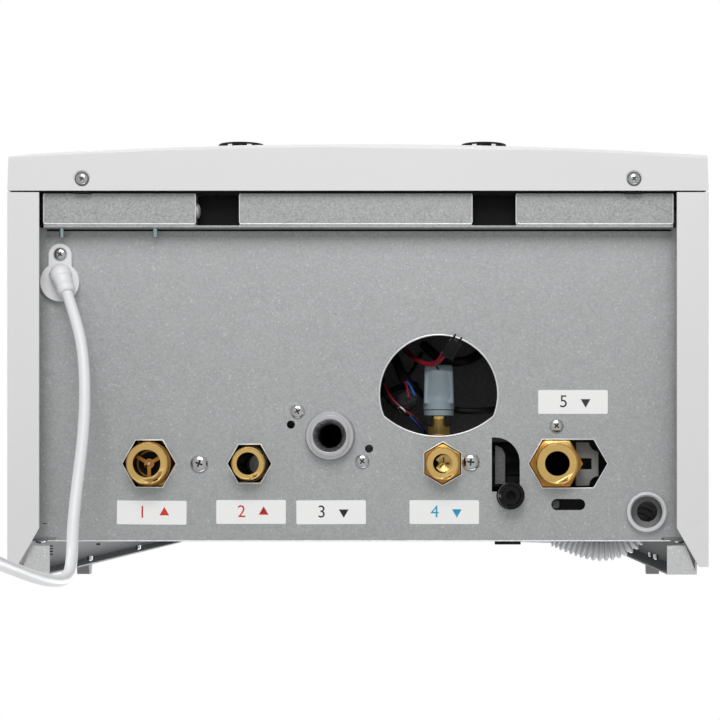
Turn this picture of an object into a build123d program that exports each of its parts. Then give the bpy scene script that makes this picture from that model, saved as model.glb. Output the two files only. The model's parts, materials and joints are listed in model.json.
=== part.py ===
"""Wall-hung combi boiler, in millimetres, modelled piece by piece.

Frame: +X to the right seen from the front, +Y towards the wall, +Z up. The origin is the centre
of the four bolt holes in the hanging rail, on the rail's rear face. In the code, heights are taken
from the casing's lower edge, which up() turns into levels of the frame, and Y is taken from the
wall, which save() turns into the frame's Y.
"""
from build123d import *
from math import atan2, cos, degrees, hypot, pi, radians, sin, tan
import os

os.makedirs("parts", exist_ok=True)

# ---------------------------------------------------------------- driving dimensions

# casing
width = 440.0
casing_height = 770.0
cover_front = -277.6           # front of the cover at its middle
cover_bow = 7.0                # the cover's corners stand this much further back
cover_back = -248.2            # rear edge of the cover
cover_sheet = 1.5
cover_bend = 2.2               # outside radius of the cover's lower front edge
cover_draft = 0.8              # the cover is this much narrower at its front, each side
cover_travel = 110.0
side_front = -247.2
side_back = -12.0
side_sheet = 1.2
side_flange = 20.0
flange_slant_x = 14.0          # slanted rear corner of the bottom flange, across
flange_slant_y = 24.5          # and along
top_sheet = 1.2
top_rim = 8.0                  # depth of the top panel's edge
cover_gap = 0.6                # cover to the pieces behind it

# chassis
plate_height = 20.0            # underside of the bottom plate
plate_sheet = 1.2
plate_edge = 15.0              # upstand at the plate's sides and rear
plate_back = -27.8
rail_half = width / 2 - 21.8   # half length of the front cross rail
rail_depth = 21.5
rail_low = 6.0                 # underside of the cross rail
rail_rise = 34.0
rail_sheet = 1.2
rail_lip = 4.2
notch_centre = 87.1
notch_shift = -1.6              # both notches stand this much off the middle
notch_width = 27.8
channel_wall = width / 2 - 6.8  # outer face of the rear channel's side wall, from the middle
channel_flange = 18.8
channel_back = -7.0
channel_low = 6.0
channel_high = casing_height - 15.2
channel_sheet = 1.2
lug_height = 185.0
lug_x = channel_wall - 12.2
lug_width = 8.7
lug_rise = 16.0
back_panel_sheet = 1.2

# hanging rail
bolt_drop = 40.0               # wall bolts below the casing's top
bolt_height = casing_height - bolt_drop
hang_depth = 9.0               # rear face of the rail in front of the wall
hang_half = channel_wall - 21.2
hang_rise = 20.0               # the rail above and below its bolts
hang_sheet = 2.0
bolt_spacing_x = 300.0
bolt_spacing_z = 20.0
bolt_hole = 4.0                # radius

# pipe connections: place, thread and hexagon
pipe_row = -77.0               # all water connections stand on this line
fitting_low = 7.0              # their open ends
heating_supply_x = -133.5
hot_water_x = -69.7
gas_x = -18.4
gas_y = -94.6
cold_water_x = 53.1
heating_return_x = 125.4
large_thread = 13.2            # G3/4 outside radius
small_thread = 10.5            # G1/2 outside radius
heating_supply_bore = 8.75
hot_water_bore = 7.1
cold_water_bore = 6.1
heating_return_bore = 7.85
heating_supply_hex = 28.0      # across flats
hot_water_hex = 22.6
cold_water_hex = 22.0
heating_return_hex = 29.0
hex_clear = 1.0                # cut-out in the plate round a hexagon, each side
hex_bottom = 18.0
block_low = 34.0               # underside of the water blocks, where the fittings end
gas_collar = 16.0
gas_step = 12.8
gas_flat = 11.6                # flats on the stepped ring, from its middle
gas_mouth = 11.0
gas_bore = 7.7
second_hex_x = 14.8            # empty hexagon beside the return connection

# openings in the plate
access_x = 50.5
access_y = -121.2
access_radius = 37.75
access_bottom = -94.2
access_lower_radius = 51.0
drain_left = 84.3
drain_right = 102.1
drain_top = -93.7
drain_bottom = -59.2
drain_x = 96.2
drain_y = -56.8
drain_hole = 9.0
pill_x = 132.9
pill_y = -51.0
pill_length = 21.6
pill_width = 7.1
condensate_x = channel_wall - 30.7
condensate_y = -46.3
condensate_radius = 12.5
condensate_mouth = 10.0
condensate_high = 36.0

# control panel on the front
knob_x = 80.0
knob_height = 80.0
knob_radius = 15.0
knob_front = -288.1
knob_turn_clear = 1.0
shaft_radius = 3.0
shaft_clear = 0.05
panel_front = -262.0
panel_back = -214.0
panel_half = 150.0
panel_low = 34.0
panel_high = 146.0
panel_wall = 2.0
shield_left = 2.0              # the shield that closes the space over the filling tap
shield_right = 78.0
shield_back = -95.0
shield_height = 104.0
shield_rim = 5.0
button_x = 46.0
button_radius = 5.0
button_travel = 1.5
display_half = 28.0
display_rise = 24.0
gauge_height = 119.0
gauge_radius = 17.0

# mains lead
cord_radius = 3.6
gland_x = 30.4 - width / 2
gland_y = -192.2
gland_radius = 12.3
gland_thick = 5.0
gland_tab = 14.5
gland_tab_end = -216.5
gland_screw_y = -209.7

# inside
drum_x = 0.0
drum_height = 560.0
drum_radius = 115.0
drum_front = -212.0
drum_back = -102.0
drum_wall = 3.0
flue_y = -157.0
flue_inner = 30.0              # bore radius of the exhaust spigot
collar_inner = 29.0            # bore radius of the drum's collar below it
flue_outer = 50.0              # outside radius of the air spigot
flue_wall = 1.5
flue_height = 45.0
vessel_radius = 185.0
vessel_height = 455.0
vessel_front = -96.0
vessel_back = -32.0
vessel_wall = 2.0
exchanger_left = -85.0
exchanger_right = 70.0
exchanger_front = -107.0
exchanger_back = -59.0
exchanger_rise = 75.0
block_top = 105.0
cross_height = 75.0            # centre line of the blocks' cross tubes
pump_height = 160.0
pump_radius = 45.0
pump_front = -195.0
pump_back = -62.0
impeller_radius = 31.0
fan_x = 60.0
fan_height = drum_height - 180.0
fan_radius = 62.0
fan_front = -236.0
fan_back = -172.0
duct_joint = drum_height - 126.0   # where the fan's outlet meets the mixing duct
running = 0.3                  # gap between curved faces that move past each other

half = width / 2


def up(height):
    """Level in the frame of a height above the casing's lower edge."""
    return height - bolt_height


# ---------------------------------------------------------------- helpers


def save(node, *solids):
    """Write one sub-part in the frame; identical pieces go in as separate solids."""
    found = [Pos(0, hang_depth, 0) * solid for shape in solids for solid in shape.solids()]
    export_step(found[0] if len(found) == 1 else Compound(found), f"parts/{node}.step")


def block(x0, x1, y0, y1, h0, h1):
    """A box between two corners, its levels given as heights."""
    centre = Pos((x0 + x1) / 2, (y0 + y1) / 2, up((h0 + h1) / 2))
    return centre * Box(abs(x1 - x0), abs(y1 - y0), abs(h1 - h0))


def post(x, y, h0, h1, radius, top_radius=None):
    """An upright cylinder or, with a second radius, a cone."""
    place = Pos(x, y, up((h0 + h1) / 2))
    if top_radius is None:
        return place * Cylinder(radius, h1 - h0)
    return place * Cone(radius, top_radius, h1 - h0)


def bar_y(x, height, y0, y1, radius):
    """A cylinder lying front to back."""
    return Pos(x, (y0 + y1) / 2, up(height)) * Rot(90, 0, 0) * Cylinder(radius, abs(y1 - y0))


def bar_x(y, height, x0, x1, radius):
    """A cylinder lying left to right."""
    return Pos((x0 + x1) / 2, y, up(height)) * Rot(0, 90, 0) * Cylinder(radius, abs(x1 - x0))


def hexagon(x, y, h0, h1, flats, turn=0):
    """An upright hexagonal prism, given across flats."""
    outline = RegularPolygon(flats / 2, 6, major_radius=False, rotation=turn)
    return Pos(x, y, up(h0)) * extrude(outline, h1 - h0)


def slab(points, h0, h1):
    """A flat plate of the outline given in plan."""
    outline = make_face(Polyline(*points, close=True))
    return Pos(0, 0, up(h0)) * extrude(outline, h1 - h0)


def profile_x(points, x0, x1):
    """A strip of the section given as (y, height) pairs, lying along X."""
    corners = [(x0, y, up(h)) for y, h in points]
    return extrude(make_face(Polyline(*corners, close=True)), x1 - x0, dir=(1, 0, 0))


def pipe(points, radius, bend, wall=None):
    """A tube through (x, y, height) points, with equal bends; solid where no wall is given."""
    places = [(x, y, up(h)) for x, y, h in points]
    path = FilletPolyline(*places, radius=bend)
    section = Plane(path @ 0, z_dir=path % 0)
    tube = sweep(section * Circle(radius), path=path)
    if wall is not None:
        tube -= sweep(section * Circle(radius - wall), path=path)
    return tube


def mirrored(shape):
    """The same piece on the other side of the middle."""
    return mirror(shape, Plane.YZ)


def pan_screw(x, y, seat, head, shank, length):
    """A screw driven upwards into a sheet: domed head below the seat, cross recess, shank above."""
    dome = 0.32 * head
    screw = post(x, y, seat - dome, seat, head * 0.62, head)
    screw += post(x, y, seat, seat + length, shank)
    for turn in (45, 135):
        slot = Pos(x, y, up(seat - dome)) * Rot(0, 0, turn) * Box(head, head * 0.24, dome)
        screw -= slot
    return screw


# ---------------------------------------------------------------- casing

cover_screw_x = width / 2 - 46.8
cover_screw_y = -255.6
cover_screw_head = 4.5
cover_screw_shank = 2.0
dimple_radius = 5.3
dimple_deep = 0.6
tab_gap = 0.3
tab_half = 5.0
tab_front = -262.0


def cover_outline(inset, back):
    """Plan of the front cover: bowed front, slight draft at the sides."""
    front_half = half - cover_draft - inset
    back_half = half - inset
    corner_y = cover_front + cover_bow + inset
    arc = ThreePointArc((-front_half, corner_y), (0, cover_front + inset), (front_half, corner_y))
    rest = Polyline((front_half, corner_y), (back_half, back), (-back_half, back), (-front_half, corner_y))
    return make_face([*arc.edges(), *rest.edges()])


def cover_screw_places():
    return [(side * cover_screw_x, cover_screw_y) for side in (-1, 1)]


def front_cover():
    shell = Pos(0, 0, up(0)) * extrude(cover_outline(0, cover_back), casing_height)
    shell = fillet(shell.edges().group_by(Axis.Z)[0].sort_by(Axis.Y)[0], cover_bend)
    inner = extrude(cover_outline(cover_sheet, cover_back + 1), casing_height - 2 * cover_sheet)
    shell -= Pos(0, 0, up(cover_sheet)) * inner
    front_in = cover_front + cover_bow + 3 * cover_sheet
    for side in (-1, 1):
        hole = knob_radius + knob_turn_clear
        shell -= bar_y(side * knob_x, knob_height, cover_front - 5, front_in, hole)
        shell -= bar_y(side * button_x, knob_height, cover_front - 5, front_in, button_radius + running)
    shell -= block(-display_half - cover_gap, display_half + cover_gap, cover_front - 5, front_in,
                   knob_height - display_rise / 2 - cover_gap, knob_height + display_rise / 2 + cover_gap)
    shell -= bar_y(0, gauge_height, cover_front - 5, front_in, gauge_radius + cover_gap)
    for x, y in cover_screw_places():
        shell -= post(x, y, -1, dimple_deep, dimple_radius)
        shell -= post(x, y, 0, cover_sheet + 1, cover_screw_shank + 0.2)
    save("front_cover", shell)


def cover_screws():
    """Captive screws with their clip nuts; they slide out of open slots with the cover."""
    screws = []
    for x, y in cover_screw_places():
        screw = pan_screw(x, y, dimple_deep, cover_screw_head, cover_screw_shank, 9.0)
        nut_low = cover_sheet + tab_gap + rail_sheet + 0.2
        screw += hexagon(x, y, nut_low, nut_low + 2.5, 8.0)
        screws.append(screw)
    save("cover_screws", *screws)


def side_casing(side):
    """Painted side wall with its bottom flange, a front return and a rear return."""
    edge = half
    inner = half - side_flange
    wall = block(edge - side_sheet, edge, side_front, side_back, 0, casing_height)
    flange = slab([(edge, side_front), (inner, side_front), (inner, side_back - flange_slant_y),
                   (inner + flange_slant_x, side_back), (edge, side_back)], 0, side_sheet)
    front = block(edge - 12, edge, side_front, side_front + side_sheet, 0, casing_height - top_sheet)
    shape = wall + flange + front
    return shape if side > 0 else mirrored(shape)


def top_panel():
    inner = half - side_sheet
    low = casing_height - top_sheet
    panel = block(-inner, inner, side_front, side_back, low, casing_height)
    for side in (-1, 1):
        x = side * (inner - side_sheet / 2)
        panel += block(x - side_sheet / 2, x + side_sheet / 2, side_front + 2 * side_sheet, side_back,
                       low - top_rim, low)
    panel += block(-inner, inner, side_back - side_sheet, side_back, low - top_rim, low)
    panel -= post(0, flue_y, low - 1, casing_height + 1, flue_outer + 2)
    save("top_panel", panel)


# ---------------------------------------------------------------- chassis

rail_screw_y = -236.8
rail_screw_height = 13.5
rail_screw_shank = 2.0
tip_places = (10.2 - rail_half, 69.4 - rail_half)
tip_height = 13.0
tip_radius = 1.65
# screws on the plate: x, y, head radius
plate_screws = [(-101.6, pipe_row, 5.6), (-39.1, -110.2, 4.5), (2.0, -78.5, 4.5),
                (70.9, -78.0, 5.6), (125.4, -101.0, 4.4)]
# open threaded holes near the gas connection
plate_holes = [(-43.4, -101.8), (6.3, -86.5)]
plate_hole_radius = 2.6
screw_shank = 2.0
channel_clear_y = 30.2
rear_edge_half = channel_wall - 21.2
hose_notch_left = 83.0
hose_notch_right = channel_wall - 19.2
hose_notch_rise = 80.0
gland_neck = 7.0


def front_cross_rail():
    front = side_front
    back = front + rail_depth
    low = rail_low
    sheet = rail_sheet
    rail = block(-rail_half, rail_half, front, back, low, low + sheet)
    rail += block(-rail_half, rail_half, front, front + sheet, low, rail_rise)
    rail += block(-rail_half, rail_half, back - sheet, back, low, plate_height)
    rail += block(-rail_half, rail_half, back, back + rail_lip, plate_height - sheet, plate_height)
    for side in (-1, 1):
        x = side * notch_centre + notch_shift
        rail -= block(x - notch_width / 2, x + notch_width / 2, front - 1, back - sheet,
                      low - 1, rail_rise + 1)
    notch_left = notch_shift - notch_centre - notch_width / 2
    rail += block(notch_left - sheet, notch_left, front, back, low, plate_height)
    rail -= bar_x(rail_screw_y, rail_screw_height, notch_left - 5, notch_left + 1, rail_screw_shank + 0.1)
    for x, y in cover_screw_places():
        low_tab = cover_sheet + tab_gap
        rail += block(x - tab_half, x + tab_half, tab_front, front, low_tab, low_tab + sheet)
        rail += block(x - tab_half, x + tab_half, front, front + sheet, low_tab, low + sheet)
        slot = cover_screw_shank + 0.3
        rail -= block(x - slot, x + slot, tab_front - 1, y, low_tab - 1, low_tab + sheet + 1)
        rail -= post(x, y, low_tab - 1, low_tab + sheet + 1, slot)
    for x in tip_places:
        rail -= bar_y(x, tip_height, back - 3, back + 3, tip_radius + 0.1)
    save("front_cross_rail", rail)


def access_face():
    """The D-shaped opening: a large arc over a shallow one."""
    reach = access_radius
    side_y = access_y + 14.0
    side_x = (reach ** 2 - (side_y - access_y) ** 2) ** 0.5
    left, right = (access_x - side_x, side_y), (access_x + side_x, side_y)
    upper = ThreePointArc(left, (access_x, access_y - reach), right)
    lower = ThreePointArc(right, (access_x, access_bottom), left)
    return make_face([*upper.edges(), *lower.edges()])


def drain_face():
    """The drain cut-out: a slot with one round corner."""
    corner = drain_right - drain_left - 2
    turn = drain_top + corner
    arc = ThreePointArc((drain_right - corner, drain_top),
                        (drain_right - corner + corner * sin(pi / 4), turn - corner * cos(pi / 4)),
                        (drain_right, turn))
    rest = Polyline((drain_right, turn), (drain_right, drain_bottom), (drain_left, drain_bottom),
                    (drain_left, drain_top), (drain_right - corner, drain_top))
    return make_face([*arc.edges(), *rest.edges()])


def bottom_plate():
    low = plate_height
    high = plate_height + plate_sheet
    side = channel_wall - channel_sheet
    front = side_front + rail_depth - rail_sheet
    plate = block(-side, side, front, plate_back, low, high)
    for end in (-1, 1):
        x0, x1 = sorted((end * side, end * (side - plate_sheet)))
        plate += block(x0, x1, front, -channel_clear_y, low, low + plate_edge)
        plate -= block(end * (side + 1), end * (side - channel_flange - 1), -channel_clear_y, 0,
                       low - 1, high + 1)
    plate += block(-rear_edge_half, hose_notch_left, plate_back - plate_sheet, plate_back,
                   low, low + plate_edge)
    cut = high - low + 2
    holes = Pos(0, 0, up(low - 1)) * extrude(access_face(), cut)
    holes += Pos(0, 0, up(low - 1)) * extrude(drain_face(), cut)
    holes += post(drain_x, drain_y, low - 1, high + 1, drain_hole)
    fittings = [(heating_supply_x, heating_supply_hex, 0), (hot_water_x, hot_water_hex, 0),
                (cold_water_x, cold_water_hex, 90), (heating_return_x, heating_return_hex, 0),
                (heating_return_x + second_hex_x, heating_return_hex, 0)]
    for x, flats, turn in fittings:
        holes += hexagon(x, pipe_row, low - 1, high + 1, flats + 2 * hex_clear, turn)
    holes += post(gas_x, gas_y, low - 1, high + 1, gas_step)
    slot = extrude(SlotOverall(pill_length, pill_width), cut)
    holes += Pos(pill_x, pill_y, up(low - 1)) * slot
    holes += post(condensate_x, condensate_y, low - 1, high + 1, condensate_radius + 0.1)
    for x, y, head in plate_screws:
        holes += post(x, y, low - 1, high + 1, screw_shank + 0.1)
    for x, y in plate_holes:
        holes += post(x, y, low - 1, high + 1, plate_hole_radius)
    holes += post(gland_x, gland_screw_y, low - 1, high + 1, screw_shank + 0.1)
    holes += post(gland_x, gland_y, low - 1, high + 1, gland_neck + 0.1)
    save("bottom_plate", plate - holes)


def casing_screws():
    screws = [pan_screw(x, y, plate_height, head, screw_shank, 9.0) for x, y, head in plate_screws]
    notch_left = notch_shift - notch_centre - notch_width / 2
    head = bar_x(rail_screw_y, rail_screw_height, notch_left, notch_left + 2.8, 4.7)
    shank = bar_x(rail_screw_y, rail_screw_height, notch_left - 8, notch_left, rail_screw_shank)
    screws.append(head + shank)
    back = side_front + rail_depth
    for x in tip_places:
        tip = bar_y(x, tip_height, back - 6, back + 7, tip_radius)
        screws.append(tip + bar_y(x, tip_height, back - 6, back - rail_sheet, tip_radius + 1.6))
    screws.append(pan_screw(gland_x, gland_screw_y, plate_height - gland_thick + 2.8, 4.1, screw_shank, 11.0))
    save("casing_screws", *screws)


def chassis_back():
    """Back panel between the rear channels, with a notch for the hose."""
    side = channel_wall - channel_sheet
    rear = plate_back - plate_sheet
    front = rear - back_panel_sheet
    low = plate_height + plate_sheet
    panel = block(-side, side, front, rear, low, channel_high)
    panel -= block(hose_notch_left, hose_notch_right, front - 1, rear + 1, low - 1, hose_notch_rise)
    save("chassis_back", panel)


def hanging_rail():
    """Rail across the back near the top: a web with four bolt holes and two flanges to the panel."""
    rear = -hang_depth
    front = plate_back - plate_sheet
    low, high = bolt_height - hang_rise, bolt_height + hang_rise
    rail = block(-hang_half, hang_half, rear - hang_sheet, rear, low, high)
    rail += block(-hang_half, hang_half, front, rear, low, low + hang_sheet)
    rail += block(-hang_half, hang_half, front, rear, high - hang_sheet, high)
    for side in (-1, 1):
        for level in (-1, 1):
            height = bolt_height + level * bolt_spacing_z / 2
            rail -= bar_y(side * bolt_spacing_x / 2, height, rear - hang_sheet - 1, rear + 1, bolt_hole)
    save("hanging_rail", rail)


def rear_rail():
    """One rear channel: side wall, front and rear flanges, closed lower end, spacer lug."""
    wall = channel_wall
    inner = wall - channel_flange
    front = plate_back - plate_sheet
    sheet = channel_sheet
    high = channel_high
    rail = block(wall - sheet, wall, front, channel_back, channel_low, high)
    rail += block(inner, wall, channel_back - sheet, channel_back, channel_low, high)
    rail += block(inner, wall, front, front + sheet, plate_height + plate_sheet, high)
    tab_front = plate_back + 2.5
    end = [(inner, tab_front), (wall - 7, tab_front), (wall, channel_back), (inner, channel_back)]
    rail += slab(end, channel_low, channel_low + sheet)
    lug_top = lug_height + lug_rise
    lug = [(channel_back - sheet, lug_height), (channel_back, lug_height), (0, lug_height + 3),
           (0, lug_top - 3), (channel_back, lug_top), (channel_back - sheet, lug_top)]
    rail += profile_x(lug, lug_x - lug_width / 2, lug_x + lug_width / 2)
    return rail


# ---------------------------------------------------------------- pipe connections

thread_chamfer = 1.0
valve_seat = 26.0              # height of the check valve's seat
guide_radius = 1.0
drain_cock_radius = 5.9
drain_stem = 2.5
hose_lean = 1.4
hose_bore = 6.5
hose_radius = 10.2
hose_valley = 8.4
hose_pitch = 3.9
hose_plain = (21.0, 8.0)       # plain ends at the trap and at the outlet
hose_side = Vector(0.45, 0.9, 0)    # never in line with the hose
cuff_height = 68.0
cuff_y = -34.0
cuff_x = drain_x + 8.8
hose_straight = 18.0
hose_rearmost = -24.6
trap_length = 64.0
trap_depth = 24.0
trap_back = -33.0
trap_low = 36.0
trap_high = 200.0
trap_wall = 3.0
trap_spigot = 21.0             # from the trap's side to the hose
trap_spigot_radius = 7.5
trap_inlet_radius = 8.0


def water_fitting(x, thread, bore, flats, turn):
    """Hexagon with a threaded spigot below it, bored through."""
    fitting = hexagon(x, pipe_row, hex_bottom, block_low, flats, turn)
    spigot = post(x, pipe_row, fitting_low, hex_bottom + 2, thread)
    fitting += chamfer(spigot.edges().group_by(Axis.Z)[0], thread_chamfer)
    fitting -= post(x, pipe_row, fitting_low - 1, block_low + 1, bore)
    return fitting


def heating_supply_fitting():
    """Supply connection with the ring that the check valve's stem slides in."""
    fitting = water_fitting(heating_supply_x, large_thread, heating_supply_bore, heating_supply_hex, 0)
    ring = post(heating_supply_x, pipe_row, valve_seat - 6, valve_seat - 3, 3.2)
    for turn in (90, 210, 330):
        arm = Pos(heating_supply_x, pipe_row, up(valve_seat - 4.5)) * Rot(0, 0, turn)
        ring += arm * Pos((heating_supply_bore + 2) / 2, 0, 0) * Box(heating_supply_bore + 0.4, 2.2, 3.0)
    ring -= post(heating_supply_x, pipe_row, valve_seat - 7, valve_seat - 2, guide_radius + shaft_clear)
    seat = post(heating_supply_x, pipe_row, valve_seat + 2, valve_seat + 4, heating_supply_bore + 0.5)
    ring += seat - post(heating_supply_x, pipe_row, valve_seat + 1, valve_seat + 5, heating_supply_bore - 2.6)
    save("heating_supply_fitting", fitting + ring)


def check_valve():
    """Disc and stem of the supply's check valve; it lifts when water flows."""
    disc = post(heating_supply_x, pipe_row, valve_seat, valve_seat + 2, heating_supply_bore - 1.2)
    stem = post(heating_supply_x, pipe_row, valve_seat - 7, valve_seat, guide_radius)
    save("check_valve", disc + stem)


def cold_water_fitting():
    """Cold connection; a conical flow disc closes half of its bore."""
    fitting = water_fitting(cold_water_x, small_thread, cold_water_bore, cold_water_hex, 90)
    disc_x = cold_water_x + 0.8
    disc = post(disc_x, pipe_row, 14, 17, cold_water_bore - 0.5) - post(disc_x, pipe_row, 14, 15.6, 5.0, 0.5)
    disc -= post(disc_x, pipe_row, 13, 18, 0.5)
    web = block(cold_water_x, cold_water_x + cold_water_bore + 0.5, pipe_row - 3, pipe_row + 3, 15.8, 17)
    disc -= post(cold_water_x - 5.6, pipe_row, 13, 18, 2.6)
    save("cold_water_fitting", fitting + disc + web)


def gas_inlet_fitting():
    """Steel union: collar under the plate, stepped ring with two flats, conical mouth."""
    fitting = post(gas_x, gas_y, 13, plate_height, gas_collar - 1.0, gas_collar)
    step = post(gas_x, gas_y, 9.5, 14, gas_step)
    step -= block(gas_x - 20, gas_x - gas_flat, gas_y - 20, gas_y + 20, 8, 12.5)
    step -= block(gas_x + gas_flat, gas_x + 20, gas_y - 20, gas_y + 20, 8, 12.5)
    fitting += step
    fitting += post(gas_x, gas_y, plate_height, block_low, gas_step - 0.1)
    fitting -= post(gas_x, gas_y, 9, 14, gas_mouth, gas_bore)
    fitting -= post(gas_x, gas_y, 8, block_low + 1, gas_bore)
    save("gas_inlet_fitting", fitting)


def return_clip():
    """Forked plastic clip that holds the return pipe; its slot takes a puller."""
    x0 = heating_return_x + second_hex_x - 1.5
    x1 = heating_return_x + second_hex_x + 13.0
    low = block_low + 2
    clip = block(x0, x1, pipe_row - 14, pipe_row + 14, low, low + 6)
    clip -= block(x0 + 3, x0 + 10, pipe_row - 3.5, pipe_row + 3.5, low - 1, low + 7)
    for side in (-1, 1):
        clip -= post(x1, pipe_row + side * 14, low - 1, low + 7, 6.0)
    save("return_clip", clip)


def drain_body():
    """Black drain barrel on the return block, with the dark plate beside it."""
    barrel = post(drain_x, drain_y, 9, 48, drain_hole - 0.8)
    barrel += block(drain_x - 6, heating_return_x - 18, drain_y - 12, drain_y - 2, 36, 48)
    barrel -= post(drain_x, drain_y, 8, 24, drain_cock_radius + running)
    barrel -= post(drain_x, drain_y, 23, 44, drain_stem + shaft_clear)
    plate = [(86.6, -64.0), (86.6, -89.0), (91.0, -87.0), (93.0, -83.0), (93.0, -64.0)]
    save("drain_body", barrel, slab(plate, 30, 33))


def drain_cock():
    cock = post(drain_x, drain_y, 8, 16, drain_cock_radius) + post(drain_x, drain_y, 16, 40, drain_stem)
    star = extrude(RegularPolygon(3.0, 6), 5)
    cock -= Pos(drain_x, drain_y, up(7)) * star
    for turn in range(6):
        cock -= Pos(drain_x, drain_y, up(9.5)) * Rot(0, 0, 60 * turn + 30) * Pos(2.7, 0, 0) * Box(1.0, 0.9, 5)
    save("drain_cock", cock)


def condensate_outlet():
    outlet = post(condensate_x, condensate_y, 15, condensate_high, condensate_radius)
    outlet += post(condensate_x, condensate_y, 21.4, 23, condensate_radius + 2.5)
    outlet -= post(condensate_x, condensate_y, 14, 30, condensate_mouth)
    outlet -= post(condensate_x, condensate_y, 14, 16.5, condensate_radius - 1.0)
    outlet -= post(condensate_x + hose_lean, condensate_y, 29, condensate_high + 1, hose_bore)
    save("condensate_outlet", outlet)


def biarc(start, start_way, end, end_way):
    """Two arcs that join two points smoothly with the directions given at them."""
    start, end = Vector(*start), Vector(*end)
    first, last = Vector(*start_way).normalized(), Vector(*end_way).normalized()
    gap = end - start
    both = first + last
    square = both.dot(both) - 4
    along = gap.dot(both)
    if abs(square) < 1e-9:
        reach = gap.dot(gap) / (2 * along)
    else:
        reach = (along - (along * along - square * gap.dot(gap)) ** 0.5) / square
    leave, arrive = start + first * reach, end - last * reach
    middle = (leave + arrive) * 0.5
    return [TangentArc(start, middle, tangent=first), TangentArc(middle, end, tangent=arrive - leave)]


def hose_path():
    """Centre line of the hose: out of the trap, round behind the plate's edge, down into the outlet."""
    level = up(cuff_height)
    outlet_top = up(condensate_high)
    turns = [((cuff_x + hose_straight, cuff_y, level), (1, 0, 0)),
             ((condensate_x - 29.5, hose_rearmost, level), (1, 0, 0)),
             ((condensate_x - 3.5, condensate_y + 14.5, level), (0.4, -0.92, 0)),
             ((condensate_x + hose_lean, condensate_y, outlet_top + hose_straight), (0, 0, -1))]
    edges = [Line((cuff_x, cuff_y, level), turns[0][0])]
    for (start, way), (end, next_way) in zip(turns, turns[1:]):
        edges += biarc(start, way, end, next_way)
    edges.append(Line(turns[-1][0], (condensate_x + hose_lean, condensate_y, outlet_top)))
    return Wire([edge.edge() for edge in edges])


def condensate_hose():
    """Ribbed hose: four circles a rib, a plain bore, and straight plain ends."""
    path = hose_path()
    length = path.length
    ribs = int((length - hose_plain[0] - hose_plain[1]) / hose_pitch)
    start = hose_plain[0]
    steps = [(0, hose_valley), (start, hose_valley)]
    for rib in range(ribs):
        place = start + rib * hose_pitch
        steps += [(place + 0.25 * hose_pitch, hose_radius), (place + 0.65 * hose_pitch, hose_radius),
                  (place + 0.85 * hose_pitch, hose_valley), (place + hose_pitch, hose_valley)]
    steps.append((length, hose_valley))

    def ring(place, radius):
        share = place / length
        centre = path.position_at(share)
        way = path.tangent_at(share)
        side = hose_side - way * hose_side.dot(way)
        return Plane(centre, x_dir=side, z_dir=way) * Circle(radius)

    outer = loft([ring(place, radius) for place, radius in steps], ruled=True)
    bore = loft([ring(length * step / 24, hose_bore) for step in range(25)], ruled=True)
    print("hose: length", round(length, 1), "ribs", ribs, "volume", round((outer - bore).volume, 1))
    save("condensate_hose", outer - bore)


def condensate_trap():
    """Flat siphon trap standing beside the blocks, with its outlet spigot and inlet pipe stub."""
    right = cuff_x - trap_spigot
    left = right - trap_length
    front = trap_back - trap_depth
    wall = trap_wall
    trap = block(left, right, front, trap_back, trap_low, trap_high)
    trap -= block(left + wall, right - wall, front + wall, trap_back - wall,
                  trap_low + wall, trap_high - wall)
    middle = (left + right) / 2
    trap += block(middle - 1, middle + 1, front + wall, trap_back - wall, trap_low + wall, trap_high - 50)
    trap += bar_x(cuff_y, cuff_height, right, cuff_x - 8, trap_spigot_radius)
    trap += bar_x(cuff_y, cuff_height, cuff_x - 8, cuff_x, hose_valley)
    trap -= bar_x(cuff_y, cuff_height, right - wall - 1, cuff_x + 1, trap_spigot_radius - 2.5)
    inlet_x, inlet_y = left + 16, (front + trap_back) / 2
    trap += post(inlet_x, inlet_y, trap_high, trap_high + 14, trap_inlet_radius)
    trap -= post(inlet_x, inlet_y, trap_high - 10, trap_high + 15, trap_inlet_radius - 2)
    save("condensate_trap", trap)


# ---------------------------------------------------------------- filling tap and wiring

tap_height = 45.0
tap_boss_end = -93.0
tap_body_end = -107.8
tap_stem = 2.5
tap_knob_front = -141.6
tap_knob_radius = 10.0
wires = [  # radius, bend, points as x, y, height
    (1.3, 5, [(22, -152, 48), (35, -147, 33), (46, -142.5, 26), (53.5, -145.5, 18)]),
    (1.3, 5, [(20, -149, 51), (34, -144, 34), (47, -139.5, 25.5), (56.5, -143.5, 17)]),
    (3.4, 8, [(6, -152, 92), (20, -132, 66), (28, -112, 66), (30, -96, 84)]),
    (3.0, 8, [(24, -160, 96), (38, -140, 80), (30, -118, 78), (14, -104, 90)]),
    (3.2, 8, [(64, -108, 92), (76, -114, 70), (92, -113, 68), (104, -118, 84)]),
]


def fill_valve():
    """Brass spool of the filling tap: hexagon between two collars, stem towards the front."""
    spool = bar_y(access_x, tap_height, tap_boss_end, tap_boss_end - 3, 8.5)
    outline = RegularPolygon(7.0, 6, major_radius=False, rotation=30)
    length = tap_boss_end - tap_body_end - 2
    spool += Pos(access_x, tap_boss_end, up(tap_height)) * Rot(90, 0, 0) * extrude(outline, length)
    spool += bar_y(access_x, tap_height, tap_body_end + 2, tap_body_end, 7.5)
    spool += bar_y(access_x, tap_height, tap_body_end, tap_body_end - 14, tap_stem)
    save("fill_valve", spool)


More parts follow.
